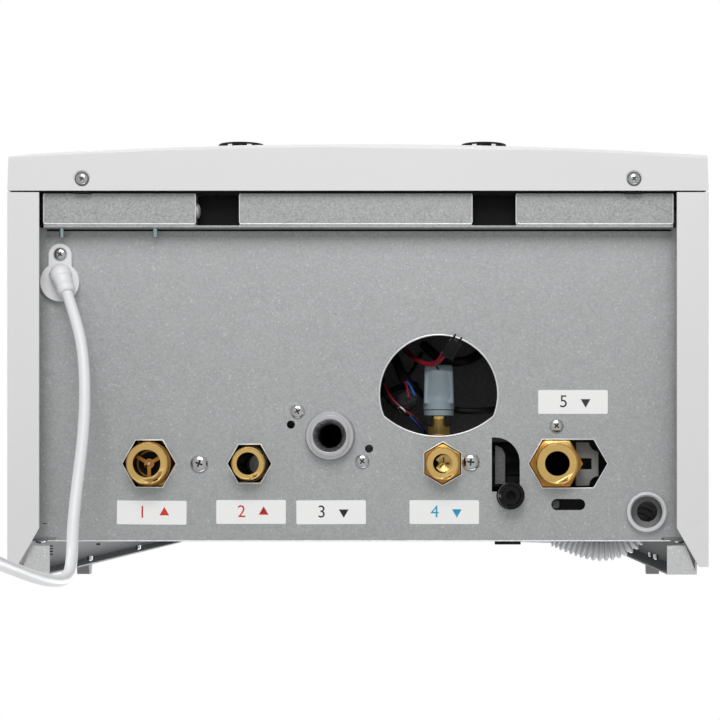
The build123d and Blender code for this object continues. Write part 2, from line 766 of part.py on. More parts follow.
def fill_knob():
    """Grey knob of the filling tap: round collar and a flat-sided grip with a thumb scoop."""
    base = tap_body_end - running
    knob = bar_y(access_x, tap_height, base, base - 9, tap_knob_radius - 0.6)
    knob += bar_y(access_x, tap_height, base - 4, base - 10, tap_knob_radius)
    grip = block(access_x - 9.4, access_x + 9.4, tap_knob_front, base - 8, tap_height - 6.2, tap_height + 6.2)
    grip = fillet(grip.edges().filter_by(Axis.Y), 2.5)
    knob += grip
    knob -= Pos(access_x, base - 11, up(tap_height - 9.5)) * Sphere(5.2)
    knob -= block(access_x - 0.5, access_x + 0.5, tap_knob_front - 1, tap_knob_front + 4,
                  tap_height - 7, tap_height - 5.4)
    knob -= bar_y(access_x, tap_height, base + 1, base - 15, tap_stem + shaft_clear)
    save("fill_knob", knob)


def wiring_loom():
    """Loose two-pin plug with its pair, and the black sleeves behind the access opening."""
    place = Pos(58.5, -149.0, up(14.0)) * Rot(14, 0, 28)
    connector = place * Box(9.0, 13.0, 6.5)
    for side in (-1, 1):
        connector += place * Pos(side * 2.2, -8.2, 0) * Box(1.8, 4.0, 3.0)
    save("wiring_loom", connector, *[pipe(points, radius, bend) for radius, bend, points in wires])


# ---------------------------------------------------------------- water side

block_wall = 5.0
relief_x = -100.0
relief_back = -104.0
spindle_radius = 3.0
spindle_travel = 6.0
pump_chamber_front = -96.0
outlet_y = -82.0


def supply_block():
    """Left block: heating and hot-water barrels joined by a tube, with the diverter's seat on top."""
    x0, x1 = heating_supply_x, hot_water_x
    body = post(x0, pipe_row, block_low, block_top + 15, heating_supply_bore + block_wall)
    body += post(x1, pipe_row, block_low, block_top, hot_water_bore + block_wall)
    body += bar_x(pipe_row, cross_height, x0 - 22, x1, 9.0)
    body += bar_y(relief_x, cross_height, pipe_row, relief_back, 9.0)
    body -= post(x0, pipe_row, block_low - 1, block_top + 10, heating_supply_bore)
    body -= post(x1, pipe_row, block_low - 1, block_top + 1, hot_water_bore)
    body -= bar_x(pipe_row, cross_height, x0 - 23, x1, 6.0)
    body -= post(x0, pipe_row, block_top + 9, block_top + 16, spindle_radius + shaft_clear)
    save("supply_block", body)


def diverter_spindle():
    """Upright spindle with the disc that sends water to heating or to the plate exchanger."""
    disc = post(heating_supply_x, pipe_row, 84, 90, heating_supply_bore - 0.6)
    spindle = post(heating_supply_x, pipe_row, 84, block_top + 24, spindle_radius)
    save("diverter_spindle", disc + spindle)


def diverter_motor():
    x, y, low = heating_supply_x, pipe_row, block_top + 15
    motor = block(x - 24, x + 24, y - 22, y + 22, low, low + 52)
    motor = fillet(motor.edges().filter_by(Axis.Z), 5)
    motor -= post(x, y, low - 1, low + 9 + spindle_travel + 1, spindle_radius + 1.0)
    save("diverter_motor", motor)


def return_block():
    """Right block: cold inlet barrel with the flow turbine, return barrel under the pump."""
    x0, x1 = cold_water_x, heating_return_x
    body = post(x0, pipe_row, block_low, block_top, cold_water_bore + block_wall)
    body += post(x1, pipe_row, block_low, pump_height - pump_radius + 3, heating_return_bore + block_wall)
    body += bar_x(pipe_row, cross_height, x0, x1, 8.0)
    body += bar_y(access_x, tap_height, pipe_row, tap_boss_end, 8.0)
    body -= post(x0, pipe_row, block_low - 1, block_top + 1, cold_water_bore)
    body -= post(x1, pipe_row, block_low - 1, pump_height, heating_return_bore)
    body -= bar_y(x1, pump_height, pump_front, pump_back, pump_radius)
    save("return_block", body)


def flow_turbine():
    """Four-bladed rotor in the cold inlet, on its vertical axis."""
    rotor = post(cold_water_x, pipe_row, 54, 62, 1.6)
    for turn in range(4):
        place = Pos(cold_water_x, pipe_row, up(58)) * Rot(0, 0, 90 * turn)
        rotor += place * Pos(3.1, 0, 0) * Rot(35, 0, 0) * Box(4.2, 0.8, 7.0)
    save("flow_turbine", rotor)


def plate_exchanger():
    """Brazed stack of stamped plates on the two blocks, with grooved sides."""
    low = block_top
    stack = block(exchanger_left, exchanger_right, exchanger_front, exchanger_back, low, low + exchanger_rise)
    high = low + exchanger_rise
    groove_count = 11
    groove_deep = 1.5
    pitch = (exchanger_back - exchanger_front) / (groove_count + 1)
    for count in range(groove_count):
        y = exchanger_front + pitch * (count + 1)
        groove = block(exchanger_left - 1, exchanger_right + 1, y - 0.5, y + 0.5, low - 1, high + 1)
        core = block(exchanger_left + groove_deep, exchanger_right - groove_deep, y - 1, y + 1,
                     low + groove_deep, high - groove_deep)
        stack -= groove - core
    save("plate_exchanger", stack)


def pump_body():
    """Wet-rotor pump: volute with its chamber, motor can in front."""
    x, h = heating_return_x, pump_height
    body = bar_y(x, h, pump_back, pump_chamber_front - 6, pump_radius)
    body += bar_y(x, h, pump_chamber_front - 6, pump_front, pump_radius - 5)
    body += post(x, outlet_y, h, h + pump_radius + 8, 12.0)
    body -= bar_y(x, h, pump_back - 6, pump_chamber_front, impeller_radius + 4)
    body -= bar_y(x, h, pump_chamber_front + 1, pump_front + 12, shaft_radius + shaft_clear)
    body -= post(x, outlet_y, h + impeller_radius, h + pump_radius + 9, 8.0)
    body -= post(x, pipe_row, h - pump_radius - 1, h - impeller_radius, heating_return_bore)
    save("pump_body", body)


def impeller(x, height, plate_y, rim_y, radius, blades, shaft_end, blade_thick):
    """A wheel on a front-to-back shaft: a plate, swept blades that stand on it, and a hub."""
    away = 2.0 if rim_y > plate_y else -2.0
    wheel = bar_y(x, height, plate_y, plate_y + away, radius)
    wheel += bar_y(x, height, plate_y, rim_y, radius * 0.22)
    for blade in range(blades):
        turn = Pos(x, (plate_y + rim_y) / 2, up(height)) * Rot(0, 360 / blades * blade, 0)
        sweep_back = Pos(radius * 0.58, 0, 0) * Rot(0, 25, 0)
        wheel += turn * sweep_back * Box(radius * 0.74, abs(rim_y - plate_y), blade_thick)
    wheel &= bar_y(x, height, plate_y, rim_y, radius)
    return wheel + bar_y(x, height, (plate_y + rim_y) / 2, shaft_end, shaft_radius)


def relief_valve():
    """Pressure relief valve pointing forwards from the supply block."""
    x, h = relief_x, cross_height
    body = bar_y(x, h, relief_back, relief_back - 30, 12.0) + post(x, relief_back - 10, h - 26, h, 7.0)
    body -= post(x, relief_back - 10, h - 27, h - 10, 5.0)
    body += bar_y(x, h, relief_back - 30, relief_back - 44, shaft_radius)
    save("relief_valve", body)


def relief_knob():
    """Red cap of the relief valve; a quarter turn lifts the valve."""
    x, h = relief_x, cross_height
    back = relief_back - 30 - running
    knob = bar_y(x, h, back, back - 20, 14.0)
    for turn in range(8):
        place = Pos(x, back - 10, up(h)) * Rot(0, 45 * turn, 0)
        knob -= place * Pos(15.5, 0, 0) * Rot(90, 0, 0) * Cylinder(3.0, 22)
    knob -= bar_y(x, h, back + 1, back - 15, shaft_radius + shaft_clear)
    save("relief_knob", knob)


def expansion_vessel():
    """Flat round vessel against the back panel, its rim rolled and its faces slightly dished."""
    x, h = 0.0, vessel_height
    vessel = bar_y(x, h, vessel_front + 8, vessel_back - 8, vessel_radius)
    vessel += bar_y(x, h, vessel_front + 4, vessel_back - 4, vessel_radius - 12)
    vessel += bar_y(x, h, vessel_front, vessel_back, vessel_radius - 30)
    middle = (vessel_front + vessel_back) / 2
    front, back = vessel_front + vessel_wall, vessel_back - vessel_wall
    low = h - vessel_radius
    vessel += bar_y(x, h, middle - 4, middle + 4, vessel_radius + 5)
    vessel -= bar_y(x, h, front, back, vessel_radius - 30 - vessel_wall)
    vessel -= bar_y(x, h, front + 8, back - 8, vessel_radius - vessel_wall)
    vessel += post(x, middle, low - 18, low + 1, 9.0)
    vessel -= post(x, middle, low - 19, low + 6, 6.0)
    save("expansion_vessel", vessel)


# ---------------------------------------------------------------- fire side

pipe_stubs = (-40.0, 40.0)     # flow and return of the drum, from its middle
pipe_wall = 1.0
water_pipe_radius = 8.0
water_pipe_y = -116.0
gas_pipe_y = -128.0
gas_pipe_radius = 8.9
flue_tail = 45.0               # reach of the exhaust tube below the casing's top
coil_outer = 96.0
coil_inner = 78.0
burner_radius = 36.0
duct_x = 4.0
duct_half = 24.0
duct_wall = 3.0
duct_front = drum_front - 38.0
duct_back = drum_front - 8.0
fan_motor_radius = 24.0
fan_motor_length = 26.0
fan_wall = 6.0
fan_eye = 22.0                 # radius of the inlet behind
gas_valve_x = 168.0
gas_valve_y = -185.0
gas_valve_half = 26.0
gas_valve_depth = 48.0
gas_valve_rise = 62.0
gas_valve_low = fan_height - 10.0


def exchanger_drum():
    """Stainless drum open to the front, its exhaust collar going up to the flue."""
    drum = bar_y(drum_x, drum_height, drum_front, drum_back, drum_radius)
    top = casing_height - flue_tail
    drum += post(drum_x, flue_y, drum_height + 60, top, flue_inner + flue_wall)
    drum -= bar_y(drum_x, drum_height, drum_front - 1, drum_back - drum_wall, drum_radius - drum_wall)
    drum -= post(drum_x, flue_y, drum_height + 60, top + 1, collar_inner)
    inside = bar_y(drum_x, drum_height, drum_front - 1, drum_back, drum_radius - drum_wall)
    low = drum_height - drum_radius
    for x in pipe_stubs:
        drum += post(x, flue_y, low - 8, low + 14, water_pipe_radius + 2) - inside
        drum -= post(x, flue_y, low - 9, low + 30, water_pipe_radius)
    save("exchanger_drum", drum)


def exchanger_coil():
    """Stack of flat stainless turns in the drum, seen as a grooved ring."""
    front, back = drum_front + 8, drum_back - drum_wall - 6
    x, h = drum_x, drum_height
    coil = bar_y(x, h, front, back, coil_outer) - bar_y(x, h, front - 1, back + 1, coil_inner)
    turn_count = 9
    pitch = (back - front) / turn_count
    for turn in range(1, turn_count):
        y = front + pitch * turn
        coil -= bar_y(x, h, y - 1, y + 1, coil_outer + 1) - bar_y(x, h, y - 1, y + 1, coil_outer - 6)
    coil += block(x - 6, x + 6, back - 1, drum_back - drum_wall, h + coil_inner + 8, h + coil_inner + 20)
    save("exchanger_coil", coil)


def burner():
    """Perforated burner can on the inside of the door."""
    can = bar_y(drum_x, drum_height, drum_front, drum_front + 70, burner_radius)
    can -= bar_y(drum_x, drum_height, drum_front - 1, drum_front + 68, burner_radius - 1.5)
    row_count, hole_count = 4, 16
    for row in range(row_count):
        for hole in range(hole_count):
            turn = Rot(0, 360 / hole_count * hole, 0) * Pos(burner_radius, 0, 0) * Rot(0, 90, 0)
            can -= Pos(drum_x, drum_front + 12 + 14 * row, up(drum_height)) * turn * Cylinder(1.6, 8)
    save("burner", can)


def burner_door():
    """Door on the drum's front with the mixing duct that comes up from the fan."""
    door = bar_y(drum_x, drum_height, drum_front - 10, drum_front, drum_radius + 6)
    top = drum_height + 20
    inner = duct_half - duct_wall
    door += block(duct_x - duct_half, duct_x + duct_half, duct_front, duct_back, duct_joint, top)
    door -= block(duct_x - inner, duct_x + inner, duct_front + duct_wall, duct_back - 2,
                  duct_joint - 1, top - duct_wall)
    door -= bar_y(drum_x, drum_height, duct_front + duct_wall, drum_front + 1, burner_radius - 14)
    bolt_circle = drum_radius - 6
    for bolt in range(6):
        angle = radians(60 * bolt + 30)
        x, h = drum_x + bolt_circle * cos(angle), drum_height + bolt_circle * sin(angle)
        door += bar_y(x, h, drum_front - 15, drum_front - 10, 5.0)
    save("burner_door", door)


def fan_housing():
    """Scroll of the fan with its chamber, outlet upwards, motor in front, inlet behind."""
    x, h = fan_x, fan_height
    body = bar_y(x, h, fan_front, fan_back, fan_radius)
    inner = duct_half - duct_wall
    body += block(duct_x - duct_half, duct_x + duct_half, duct_front, duct_back, h + 10, duct_joint)
    body += bar_y(x, h, fan_front, fan_front - fan_motor_length, fan_motor_radius)
    body -= bar_y(x, h, fan_front + fan_wall, fan_back - fan_wall, fan_radius - fan_wall)
    body -= block(duct_x - inner, duct_x + inner, duct_front + duct_wall, duct_back - 2,
                  h + 20, duct_joint + 1)
    body -= bar_y(x, h, fan_back - fan_wall - 1, fan_back + 1, fan_eye)
    body -= bar_y(x, h, fan_front + 7, fan_front - 18, shaft_radius + shaft_clear)
    save("fan_housing", body)


def gas_valve():
    """Gas valve under the fan's side: block, coil can and the tube that meets the gas pipe."""
    x, y, h = gas_valve_x, gas_valve_y, gas_valve_low
    wide, deep, tall = gas_valve_half, gas_valve_depth / 2, gas_valve_rise
    body = block(x - wide, x + wide, y - deep, y + deep, h, h + tall)
    body += post(x, y, h - 10, h, 12.0)
    body += bar_y(x, h + tall / 2, y - deep, y - deep - 22, 15.0)
    body += post(x + 8, y, h + tall, h + tall + 22, 12.0)
    body -= post(x, y, h - 11, h + 20, 6.0)
    save("gas_valve", body)


def pipework():
    """Copper pipes: gas to its valve, heating flow, heating return."""
    valve_inlet = gas_valve_low - 10
    gas = pipe([(gas_x, gas_y, block_low), (gas_x, gas_y, block_low + 28),
                (gas_x, gas_pipe_y, block_low + 50), (gas_x, gas_pipe_y, valve_inlet - 120),
                (gas_valve_x, gas_valve_y, valve_inlet - 80), (gas_valve_x, gas_valve_y, valve_inlet)],
               gas_pipe_radius, 13, pipe_wall)
    drum_low = drum_height - drum_radius - 8
    left_stub, right_stub = pipe_stubs
    flow_x = heating_supply_x - 22
    flow = pipe([(flow_x, pipe_row, cross_height), (flow_x - 30, pipe_row, cross_height),
                 (flow_x - 30, water_pipe_y, cross_height + 175), (left_stub, flue_y, drum_low - 77),
                 (left_stub, flue_y, drum_low)], water_pipe_radius, 14, pipe_wall)
    pump_top = pump_height + pump_radius + 8
    back = pipe([(heating_return_x, outlet_y, pump_top), (heating_return_x, outlet_y, pump_top + 22),
                 (heating_return_x - 20, water_pipe_y, pump_top + 48), (right_stub, flue_y, drum_low - 97),
                 (right_stub, flue_y, drum_low)], water_pipe_radius, 12, pipe_wall)
    save("pipework", gas, flow, back)


def flue_turret():
    """Concentric flue adaptor: exhaust tube inside an air tube, on a round base."""
    top = casing_height + flue_height
    low = casing_height - flue_tail
    base = post(drum_x, flue_y, casing_height, casing_height + 4, flue_outer + 20)
    outer = post(drum_x, flue_y, casing_height, top, flue_outer)
    body = base + outer
    body -= post(drum_x, flue_y, casing_height - 1, top + 1, flue_outer - flue_wall)
    body += post(drum_x, flue_y, low, top, flue_inner + flue_wall)
    body -= post(drum_x, flue_y, low - 1, top + 1, flue_inner)
    reach = (flue_inner + flue_wall + flue_outer - 0.5) / 2
    span = flue_outer - flue_inner - flue_wall
    for turn in (90, 210, 330):
        place = Pos(drum_x, flue_y, up(casing_height + 10)) * Rot(0, 0, turn)
        body += place * Pos(reach, 0, 0) * Box(span, 3, 16)
    for side in (-1, 1):
        body += post(drum_x + side * 46, flue_y - 42, casing_height + 4, casing_height + 14, 7.0)
    save("flue_turret", body)


# ---------------------------------------------------------------- control panel

button_stem = 3.0
board_thick = 1.6
# tallest parts on the board: across, height, width, rise, depth
board_parts = [(-110.0, 60.0, 34.0, 30.0, 9.0), (-60.0, 110.0, 26.0, 18.0, 11.0),
               (20.0, 55.0, 30.0, 24.0, 8.0), (70.0, 110.0, 18.0, 18.0, 7.0),
               (112.0, 62.0, 30.0, 36.0, 10.0)]
knob_pocket = 12.6             # radius of the hollow that the finger bar stands in
knob_deep = 5.0
knob_bar = 4.0                 # half width of the finger bar


def control_box():
    """Open-backed plastic box behind the cover's lower front, and the dark shield over the tap."""
    box = block(-panel_half, panel_half, panel_front, panel_back, panel_low, panel_high)
    box -= block(-panel_half + panel_wall, panel_half - panel_wall, panel_front + panel_wall, panel_back + 1,
                 panel_low + panel_wall, panel_high - panel_wall)
    for side in (-1, 1):
        box += bar_y(side * knob_x, knob_height, panel_front, panel_front + 8, 7.0)
        box -= bar_y(side * knob_x, knob_height, panel_front - 1, panel_front + 9, shaft_radius + shaft_clear)
        box -= bar_y(side * button_x, knob_height, panel_front - 1, panel_front + 9, button_stem + running)
        box += block(side * panel_half - 4, side * panel_half + 4, panel_front + 4, side_front,
                     panel_low, panel_low + 8)
    box += block(shield_left, shield_right, panel_back - panel_wall, panel_back, panel_low, shield_height)
    box += block(shield_left, shield_right, panel_back - panel_wall, shield_back,
                 shield_height - panel_wall, shield_height)
    for x in (shield_left, shield_right - panel_wall):
        box += block(x, x + panel_wall, panel_back - panel_wall, shield_back,
                     shield_height - shield_rim, shield_height)
    save("control_box", box)


def control_board():
    """Circuit board on edge inside the box, with its tallest parts."""
    y = panel_back - 14
    board = block(-panel_half + 8, panel_half - 8, y, y + board_thick, panel_low + 6, panel_high - 6)
    back = y + board_thick
    for x, h, wide, tall, deep in board_parts:
        board += block(x - wide / 2, x + wide / 2, back, back + deep, h - tall / 2, h + tall / 2)
    save("control_board", board)


def display():
    """Window of the display, standing flush in the cover."""
    front = cover_front + cover_sheet / 2
    low, high = knob_height - display_rise / 2, knob_height + display_rise / 2
    window = block(-display_half, display_half, front, panel_front, low, high)
    window = fillet(window.edges().filter_by(Axis.Y), 2.0)
    save("display", window)


def knob(side):
    """Round control knob with a finger bar between two hollows, and its shaft."""
    x, h = side * knob_x, knob_height
    shape = bar_y(x, h, knob_front, panel_front - running, knob_radius)
    shape = chamfer(shape.edges().group_by(Axis.Y)[0], 0.5)
    shape -= bar_y(x, h, knob_front - 1, knob_front + knob_deep, knob_pocket)
    shape += block(x - knob_bar, x + knob_bar, knob_front, knob_front + knob_deep + 1,
                   h - knob_pocket - 0.5, h + knob_pocket + 0.5)
    shape += bar_y(x, h, panel_front - running - 1, panel_front + 12, shaft_radius)
    return shape


def push_button(side):
    """Round push button with its stem."""
    x, h = side * button_x, knob_height
    front = cover_front - 2.0
    shape = bar_y(x, h, front, panel_front - 2 * button_travel, button_radius)
    shape = fillet(shape.edges().group_by(Axis.Y)[0], 0.8)
    shape += bar_y(x, h, panel_front - 2 * button_travel - 1, panel_front + 8, button_stem)
    return shape


def pressure_gauge():
    """Round pressure gauge: case, rim, dial face and the post that the needle turns on."""
    case = bar_y(0, gauge_height, cover_front - 1.0, panel_front, gauge_radius)
    case -= bar_y(0, gauge_height, cover_front - 2.0, cover_front + 5.0, gauge_radius - 1.8)
    case += bar_y(0, gauge_height, cover_front + 1.0, cover_front + 6.0, 1.0)
    save("pressure_gauge", case)


def gauge_needle():
    """Needle of the gauge, at rest near the middle of its sweep."""
    y = cover_front + 2.6
    needle = bar_y(0, gauge_height, y - 0.8, y + 0.8, 2.2)
    needle += block(-0.7, 0.7, y - 0.4, y + 0.4, gauge_height - 5, gauge_height + 12.5)
    needle -= bar_y(0, gauge_height, y - 3, y + 3, 1.0 + shaft_clear)
    save("gauge_needle", needle)


# ---------------------------------------------------------------- mains lead

# route of the free lead, as x and y from the gland and height: out of the gland, under the plate
# towards the wall, then down in front of the wall to the coil
cord_route = [(5.1, 5.2, 7.0), (11.6, 21.2, -1.0), (18.4, 42.2, -10.0), (21.3, 70.2, -18.0),
              (21.0, 100.2, -25.0), (18.2, 130.2, -32.5), (17.4, 154.2, -43.0), (19.0, 171.2, -55.0),
              (20.8, 182.2, -76.0), (20.0, 184.7, -106.0), (15.1, 181.7, -144.0), (8.1, 174.2, -190.0),
              (2.6, 166.2, -240.0), (2.6, 166.2, -286.0)]
coil_lead = 10.0               # straight tube before the first turn and after the last
coil_radius = 48.0
coil_pitch = 8.7               # one turn to the next, and one layer to the next
inward_turns = 1.5
outward_turns = 2.0
plug_radius = 18.5
pin_spacing = 19.0
pin_radius = 2.4
pin_length = 19.0


def cord_places():
    return [Vector(gland_x + x, gland_y + y, up(h)) for x, y, h in cord_route]


def cord_fillets():
    """Largest bend that each corner of the route allows."""
    places = cord_places()
    bends = []
    for before, corner, after in zip(places, places[1:], places[2:]):
        turn = radians((corner - before).get_angle(after - corner))
        shorter = min((corner - before).length, (after - corner).length)
        bends.append(0.45 * shorter / tan(turn / 2))
    return places, bends


def power_cord():
    places, bends = cord_fillets()
    path = FilletPolyline(*places, radius=bends)
    tube = sweep(Plane(path @ 0, z_dir=path % 0) * Circle(cord_radius), path=path)
    expected = pi * cord_radius ** 2 * path.length
    print("lead bends:", [round(bend) for bend in bends])
    print("lead length", round(path.length, 1), "volume / expected", round(tube.volume / expected, 4))
    save("power_cord", tube)
    return path.length


def power_gland():
    """White gland: disc with a screw tab, and a tapered sleeve leaning with the lead."""
    low = plate_height - gland_thick
    body = post(gland_x, gland_y, low, plate_height, gland_radius)
    half_tab = gland_tab / 2
    tab_centre = gland_tab_end + half_tab
    body += block(gland_x - half_tab, gland_x + half_tab, tab_centre, gland_y, low + 2, plate_height)
    body += post(gland_x, tab_centre, low + 2, plate_height, half_tab)
    body += post(gland_x, gland_y, plate_height, plate_height + 6, gland_neck)
    start, second = cord_places()[:2]
    way = (second - start).normalized()
    sleeve = Plane(start - way * 18, z_dir=way) * Pos(0, 0, 9) * Cone(7.2, 4.8, 18)
    body += sleeve - block(gland_x - 30, gland_x + 30, gland_y - 30, gland_y + 30,
                           plate_height, plate_height + 30)
    body -= post(gland_x, gland_screw_y, low - 5, plate_height + 1, screw_shank + 0.1)
    body -= post(gland_x, gland_screw_y, low - 5, low + 2.8, 4.4)
    save("power_gland", body)


def coil_points():
    """Quarter-turn points and directions of the coil, which lies in an upright front-to-back plane."""
    lead_end = cord_places()[-1]
    x0, y0, entry = lead_end.X, lead_end.Y, lead_end.Z - coil_lead
    centre_y = y0 - coil_radius
    inward = round(4 * inward_turns)
    outward = round(4 * outward_turns)
    points = []
    for step in range(inward + 2 + outward + 1):
        turned_in = min(step, inward)
        turned_out = max(0, step - inward - 2)
        radius = coil_radius - coil_pitch * (turned_in - turned_out) / 4
        layer = min(max(step - inward, 0), 2) / 2
        angle = pi / 2 * step
        grow = 0.0
        if step < inward:
            grow = -coil_pitch / (2 * pi)
        elif step > inward + 2:
            grow = coil_pitch / (2 * pi)
        across = 0.0
        if step == inward + 1:
            across = -coil_pitch / pi
        place = (x0 - coil_pitch * layer, centre_y + radius * cos(angle), entry - radius * sin(angle))
        way = (across, grow * cos(angle) - radius * sin(angle), -grow * sin(angle) - radius * cos(angle))
        points.append((place, way))
    first, last = points[0], points[-1]
    points[0] = (first[0], (0, 0, -1))
    points[-1] = (last[0], (0, 0, -1))
    return points


def cord_coil():
    """Spare lead in one unbroken coil of two layers, straight at both ends."""
    points = coil_points()
    begin = Vector(*points[0][0])
    end = Vector(*points[-1][0])
    edges = [Line(begin + Vector(0, 0, coil_lead), begin)]
    for (place, way), (next_place, next_way) in zip(points, points[1:]):
        edges += biarc(place, way, next_place, next_way)
    edges.append(Line(end, end - Vector(0, 0, coil_lead)))
    path = Wire([edge.edge() for edge in edges])
    tube = sweep(Plane(path @ 0, z_dir=path % 0) * Circle(cord_radius), path=path)
    count = 400
    spots = [path.position_at(step / count) for step in range(count + 1)]
    apart = int(count / (inward_turns + outward_turns + 0.5) / 2)
    gap = min((spots[i] - spots[j]).length for i in range(count + 1) for j in range(i + apart, count + 1))
    expected = pi * cord_radius ** 2 * path.length
    print("coil length", round(path.length, 1), "least gap", round(gap - 2 * cord_radius, 2),
          "volume / expected", round(tube.volume / expected, 4))
    save("cord_coil", tube)
    return path.length


def power_plug():
    """Plain earthed plug hanging from the coil: sleeve, body, two pins."""
    place = Vector(*coil_points()[-1][0])
    x, y, top = place.X, place.Y, place.Z + bolt_height - coil_lead
    plug = post(x, y, top - 26, top, 6.2, 4.6)
    plug += post(x, y, top - 42, top - 26, plug_radius, 8.0)
    plug += post(x, y, top - 64, top - 42, plug_radius)
    for side in (-1, 1):
        plug += post(x, y + side * pin_spacing / 2, top - 64 - pin_length, top - 60, pin_radius)
        plug -= block(x + side * plug_radius, x + side * (plug_radius - 2.5), y - 3, y + 3,
                      top - 65, top - 46)
    save("power_plug", plug)


# ---------------------------------------------------------------- stickers

sticker_length = 44.2
sticker_width = 15.2
sticker_thick = 0.2
sticker_places = [(-131.8, -45.9), (-68.7, -46.3), (-17.8, -46.1), (54.1, -46.2), (135.9, -116.2)]


def stickers():
    low = plate_height - sticker_thick
    long, wide = sticker_length / 2, sticker_width / 2
    save("stickers", *[block(x - long, x + long, y - wide, y + wide, low, plate_height)
                       for x, y in sticker_places])


# ---------------------------------------------------------------- make everything

front_cover()
cover_screws()
save("side_casing_left", side_casing(-1))
save("side_casing_right", side_casing(1))
top_panel()
front_cross_rail()
bottom_plate()
casing_screws()
chassis_back()
save("rear_rails", rear_rail(), mirrored(rear_rail()))
hanging_rail()
heating_supply_fitting()
check_valve()
save("hot_water_fitting", water_fitting(hot_water_x, small_thread, hot_water_bore, hot_water_hex, 0))
cold_water_fitting()
gas_inlet_fitting()
save("heating_return_fitting",
     water_fitting(heating_return_x, large_thread, heating_return_bore, heating_return_hex, 0))
return_clip()
drain_body()
drain_cock()
condensate_outlet()
condensate_hose()
condensate_trap()
fill_valve()
fill_knob()
wiring_loom()
supply_block()
diverter_spindle()
diverter_motor()
return_block()
flow_turbine()
plate_exchanger()
pump_body()
save("pump_impeller", impeller(heating_return_x, pump_height, pump_chamber_front + 6, pump_back - 10,
                               impeller_radius, 7, pump_front + 16, 2.0))
relief_valve()
relief_knob()
expansion_vessel()
exchanger_drum()
exchanger_coil()
burner()
burner_door()
fan_housing()
save("fan_impeller", impeller(fan_x, fan_height, fan_front + 10, fan_back - 12, fan_radius - 12, 12,
                              fan_front - 14, 2.0))
gas_valve()
pipework()
flue_turret()
control_box()
control_board()
display()
save("knob_left", knob(-1))
save("knob_right", knob(1))
save("mode_button", push_button(-1))
save("reset_button", push_button(1))
pressure_gauge()
gauge_needle()
power_gland()
total = power_cord() + cord_coil()
print("whole lead", round(total, 1))
power_plug()
stickers()
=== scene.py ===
# %% [markdown]
# # A wall-hung combi boiler, seen from underneath
# The real boiler is a white painted casing round a galvanised chassis, and its underside is where
# everything joins it: five pipe connections, a drain, a condensate outlet and a mains lead.
# The construction comes in as a fixed frame, in metres. This lesson dresses it: it hangs the lead,
# lights the scene, gives each surface its finish and models the small soft and printed pieces.

# %% Load the frame
import json
from math import cos, pi, radians, sin

import bmesh
import bpy
from mathutils import Matrix, Vector


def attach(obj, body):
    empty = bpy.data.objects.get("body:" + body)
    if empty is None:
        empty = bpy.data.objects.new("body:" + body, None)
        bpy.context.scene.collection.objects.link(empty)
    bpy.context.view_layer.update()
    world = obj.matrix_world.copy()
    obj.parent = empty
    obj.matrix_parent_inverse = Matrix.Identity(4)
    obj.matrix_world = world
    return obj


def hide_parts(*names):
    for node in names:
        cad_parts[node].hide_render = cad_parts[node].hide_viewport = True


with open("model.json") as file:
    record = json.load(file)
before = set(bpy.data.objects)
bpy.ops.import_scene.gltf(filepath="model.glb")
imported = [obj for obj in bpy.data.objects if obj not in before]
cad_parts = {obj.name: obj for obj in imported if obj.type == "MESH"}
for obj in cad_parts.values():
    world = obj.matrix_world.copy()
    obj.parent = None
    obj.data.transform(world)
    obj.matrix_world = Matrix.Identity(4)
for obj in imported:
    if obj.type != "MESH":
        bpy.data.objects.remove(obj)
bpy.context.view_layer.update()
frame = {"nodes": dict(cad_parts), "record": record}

nodes = frame["nodes"]
MM = 0.001
BOLT_HEIGHT = 0.730       # the frame's origin stands this far above the casing's lower edge
HANG_DEPTH = 0.009        # and this far in front of the wall


def up(height):
    """Level in the frame of a height above the casing's lower edge."""
    return height - BOLT_HEIGHT


def spot(x, y, height):
    """A place in the frame from metres across, from the wall and above the casing's lower edge."""
    return Vector((x, y + HANG_DEPTH, up(height)))


# %% [markdown]
# ## The camera
# The photograph looks straight up at the underside from about a metre and a half below it. A
# camera turned half a turn about X looks up, with the wall at the bottom of the picture. The
# photographer stood a little off the middle and squared the picture up afterwards, which the
# camera's shift repeats without tilting it.

# %% Camera
PICTURE = 720
EYE_PIXEL = (449, 477)    # the picture's point that the camera looks straight at
EYE_DISTANCE = 1.5
PIXEL_AT_EDGE = 0.6272 * MM
SENSOR = 36.0

EYE_ACROSS, EYE_FROM_WALL = 0.0571, -0.0685

bpy.ops.object.camera_add(location=spot(EYE_ACROSS, EYE_FROM_WALL, -EYE_DISTANCE), rotation=(pi, 0, 0))
camera = bpy.context.active_object
camera.data.sensor_width = SENSOR
camera.data.lens = SENSOR * EYE_DISTANCE / PIXEL_AT_EDGE / PICTURE
camera.data.shift_x = (PICTURE / 2 - EYE_PIXEL[0]) / PICTURE
camera.data.shift_y = (EYE_PIXEL[1] - PICTURE / 2) / PICTURE
bpy.context.scene.camera = camera
bpy.context.scene.view_settings.view_transform = "Standard"
print("camera lens", round(camera.data.lens, 2), "mm")


# %% [markdown]
# ## The mains lead
# A white lead comes out of its gland at the front left and runs under the plate towards the wall.
# It then hangs down in front of the wall, and its spare length is wound into a tied coil with the
# plug hanging from it. A lead has no corners, so its line is a NURBS spline: the points are only
# its control points, and the spline passes smoothly inside them. The coil's turns are more points
# of the same spline, set a little outside the turn, because the spline cuts inside them.

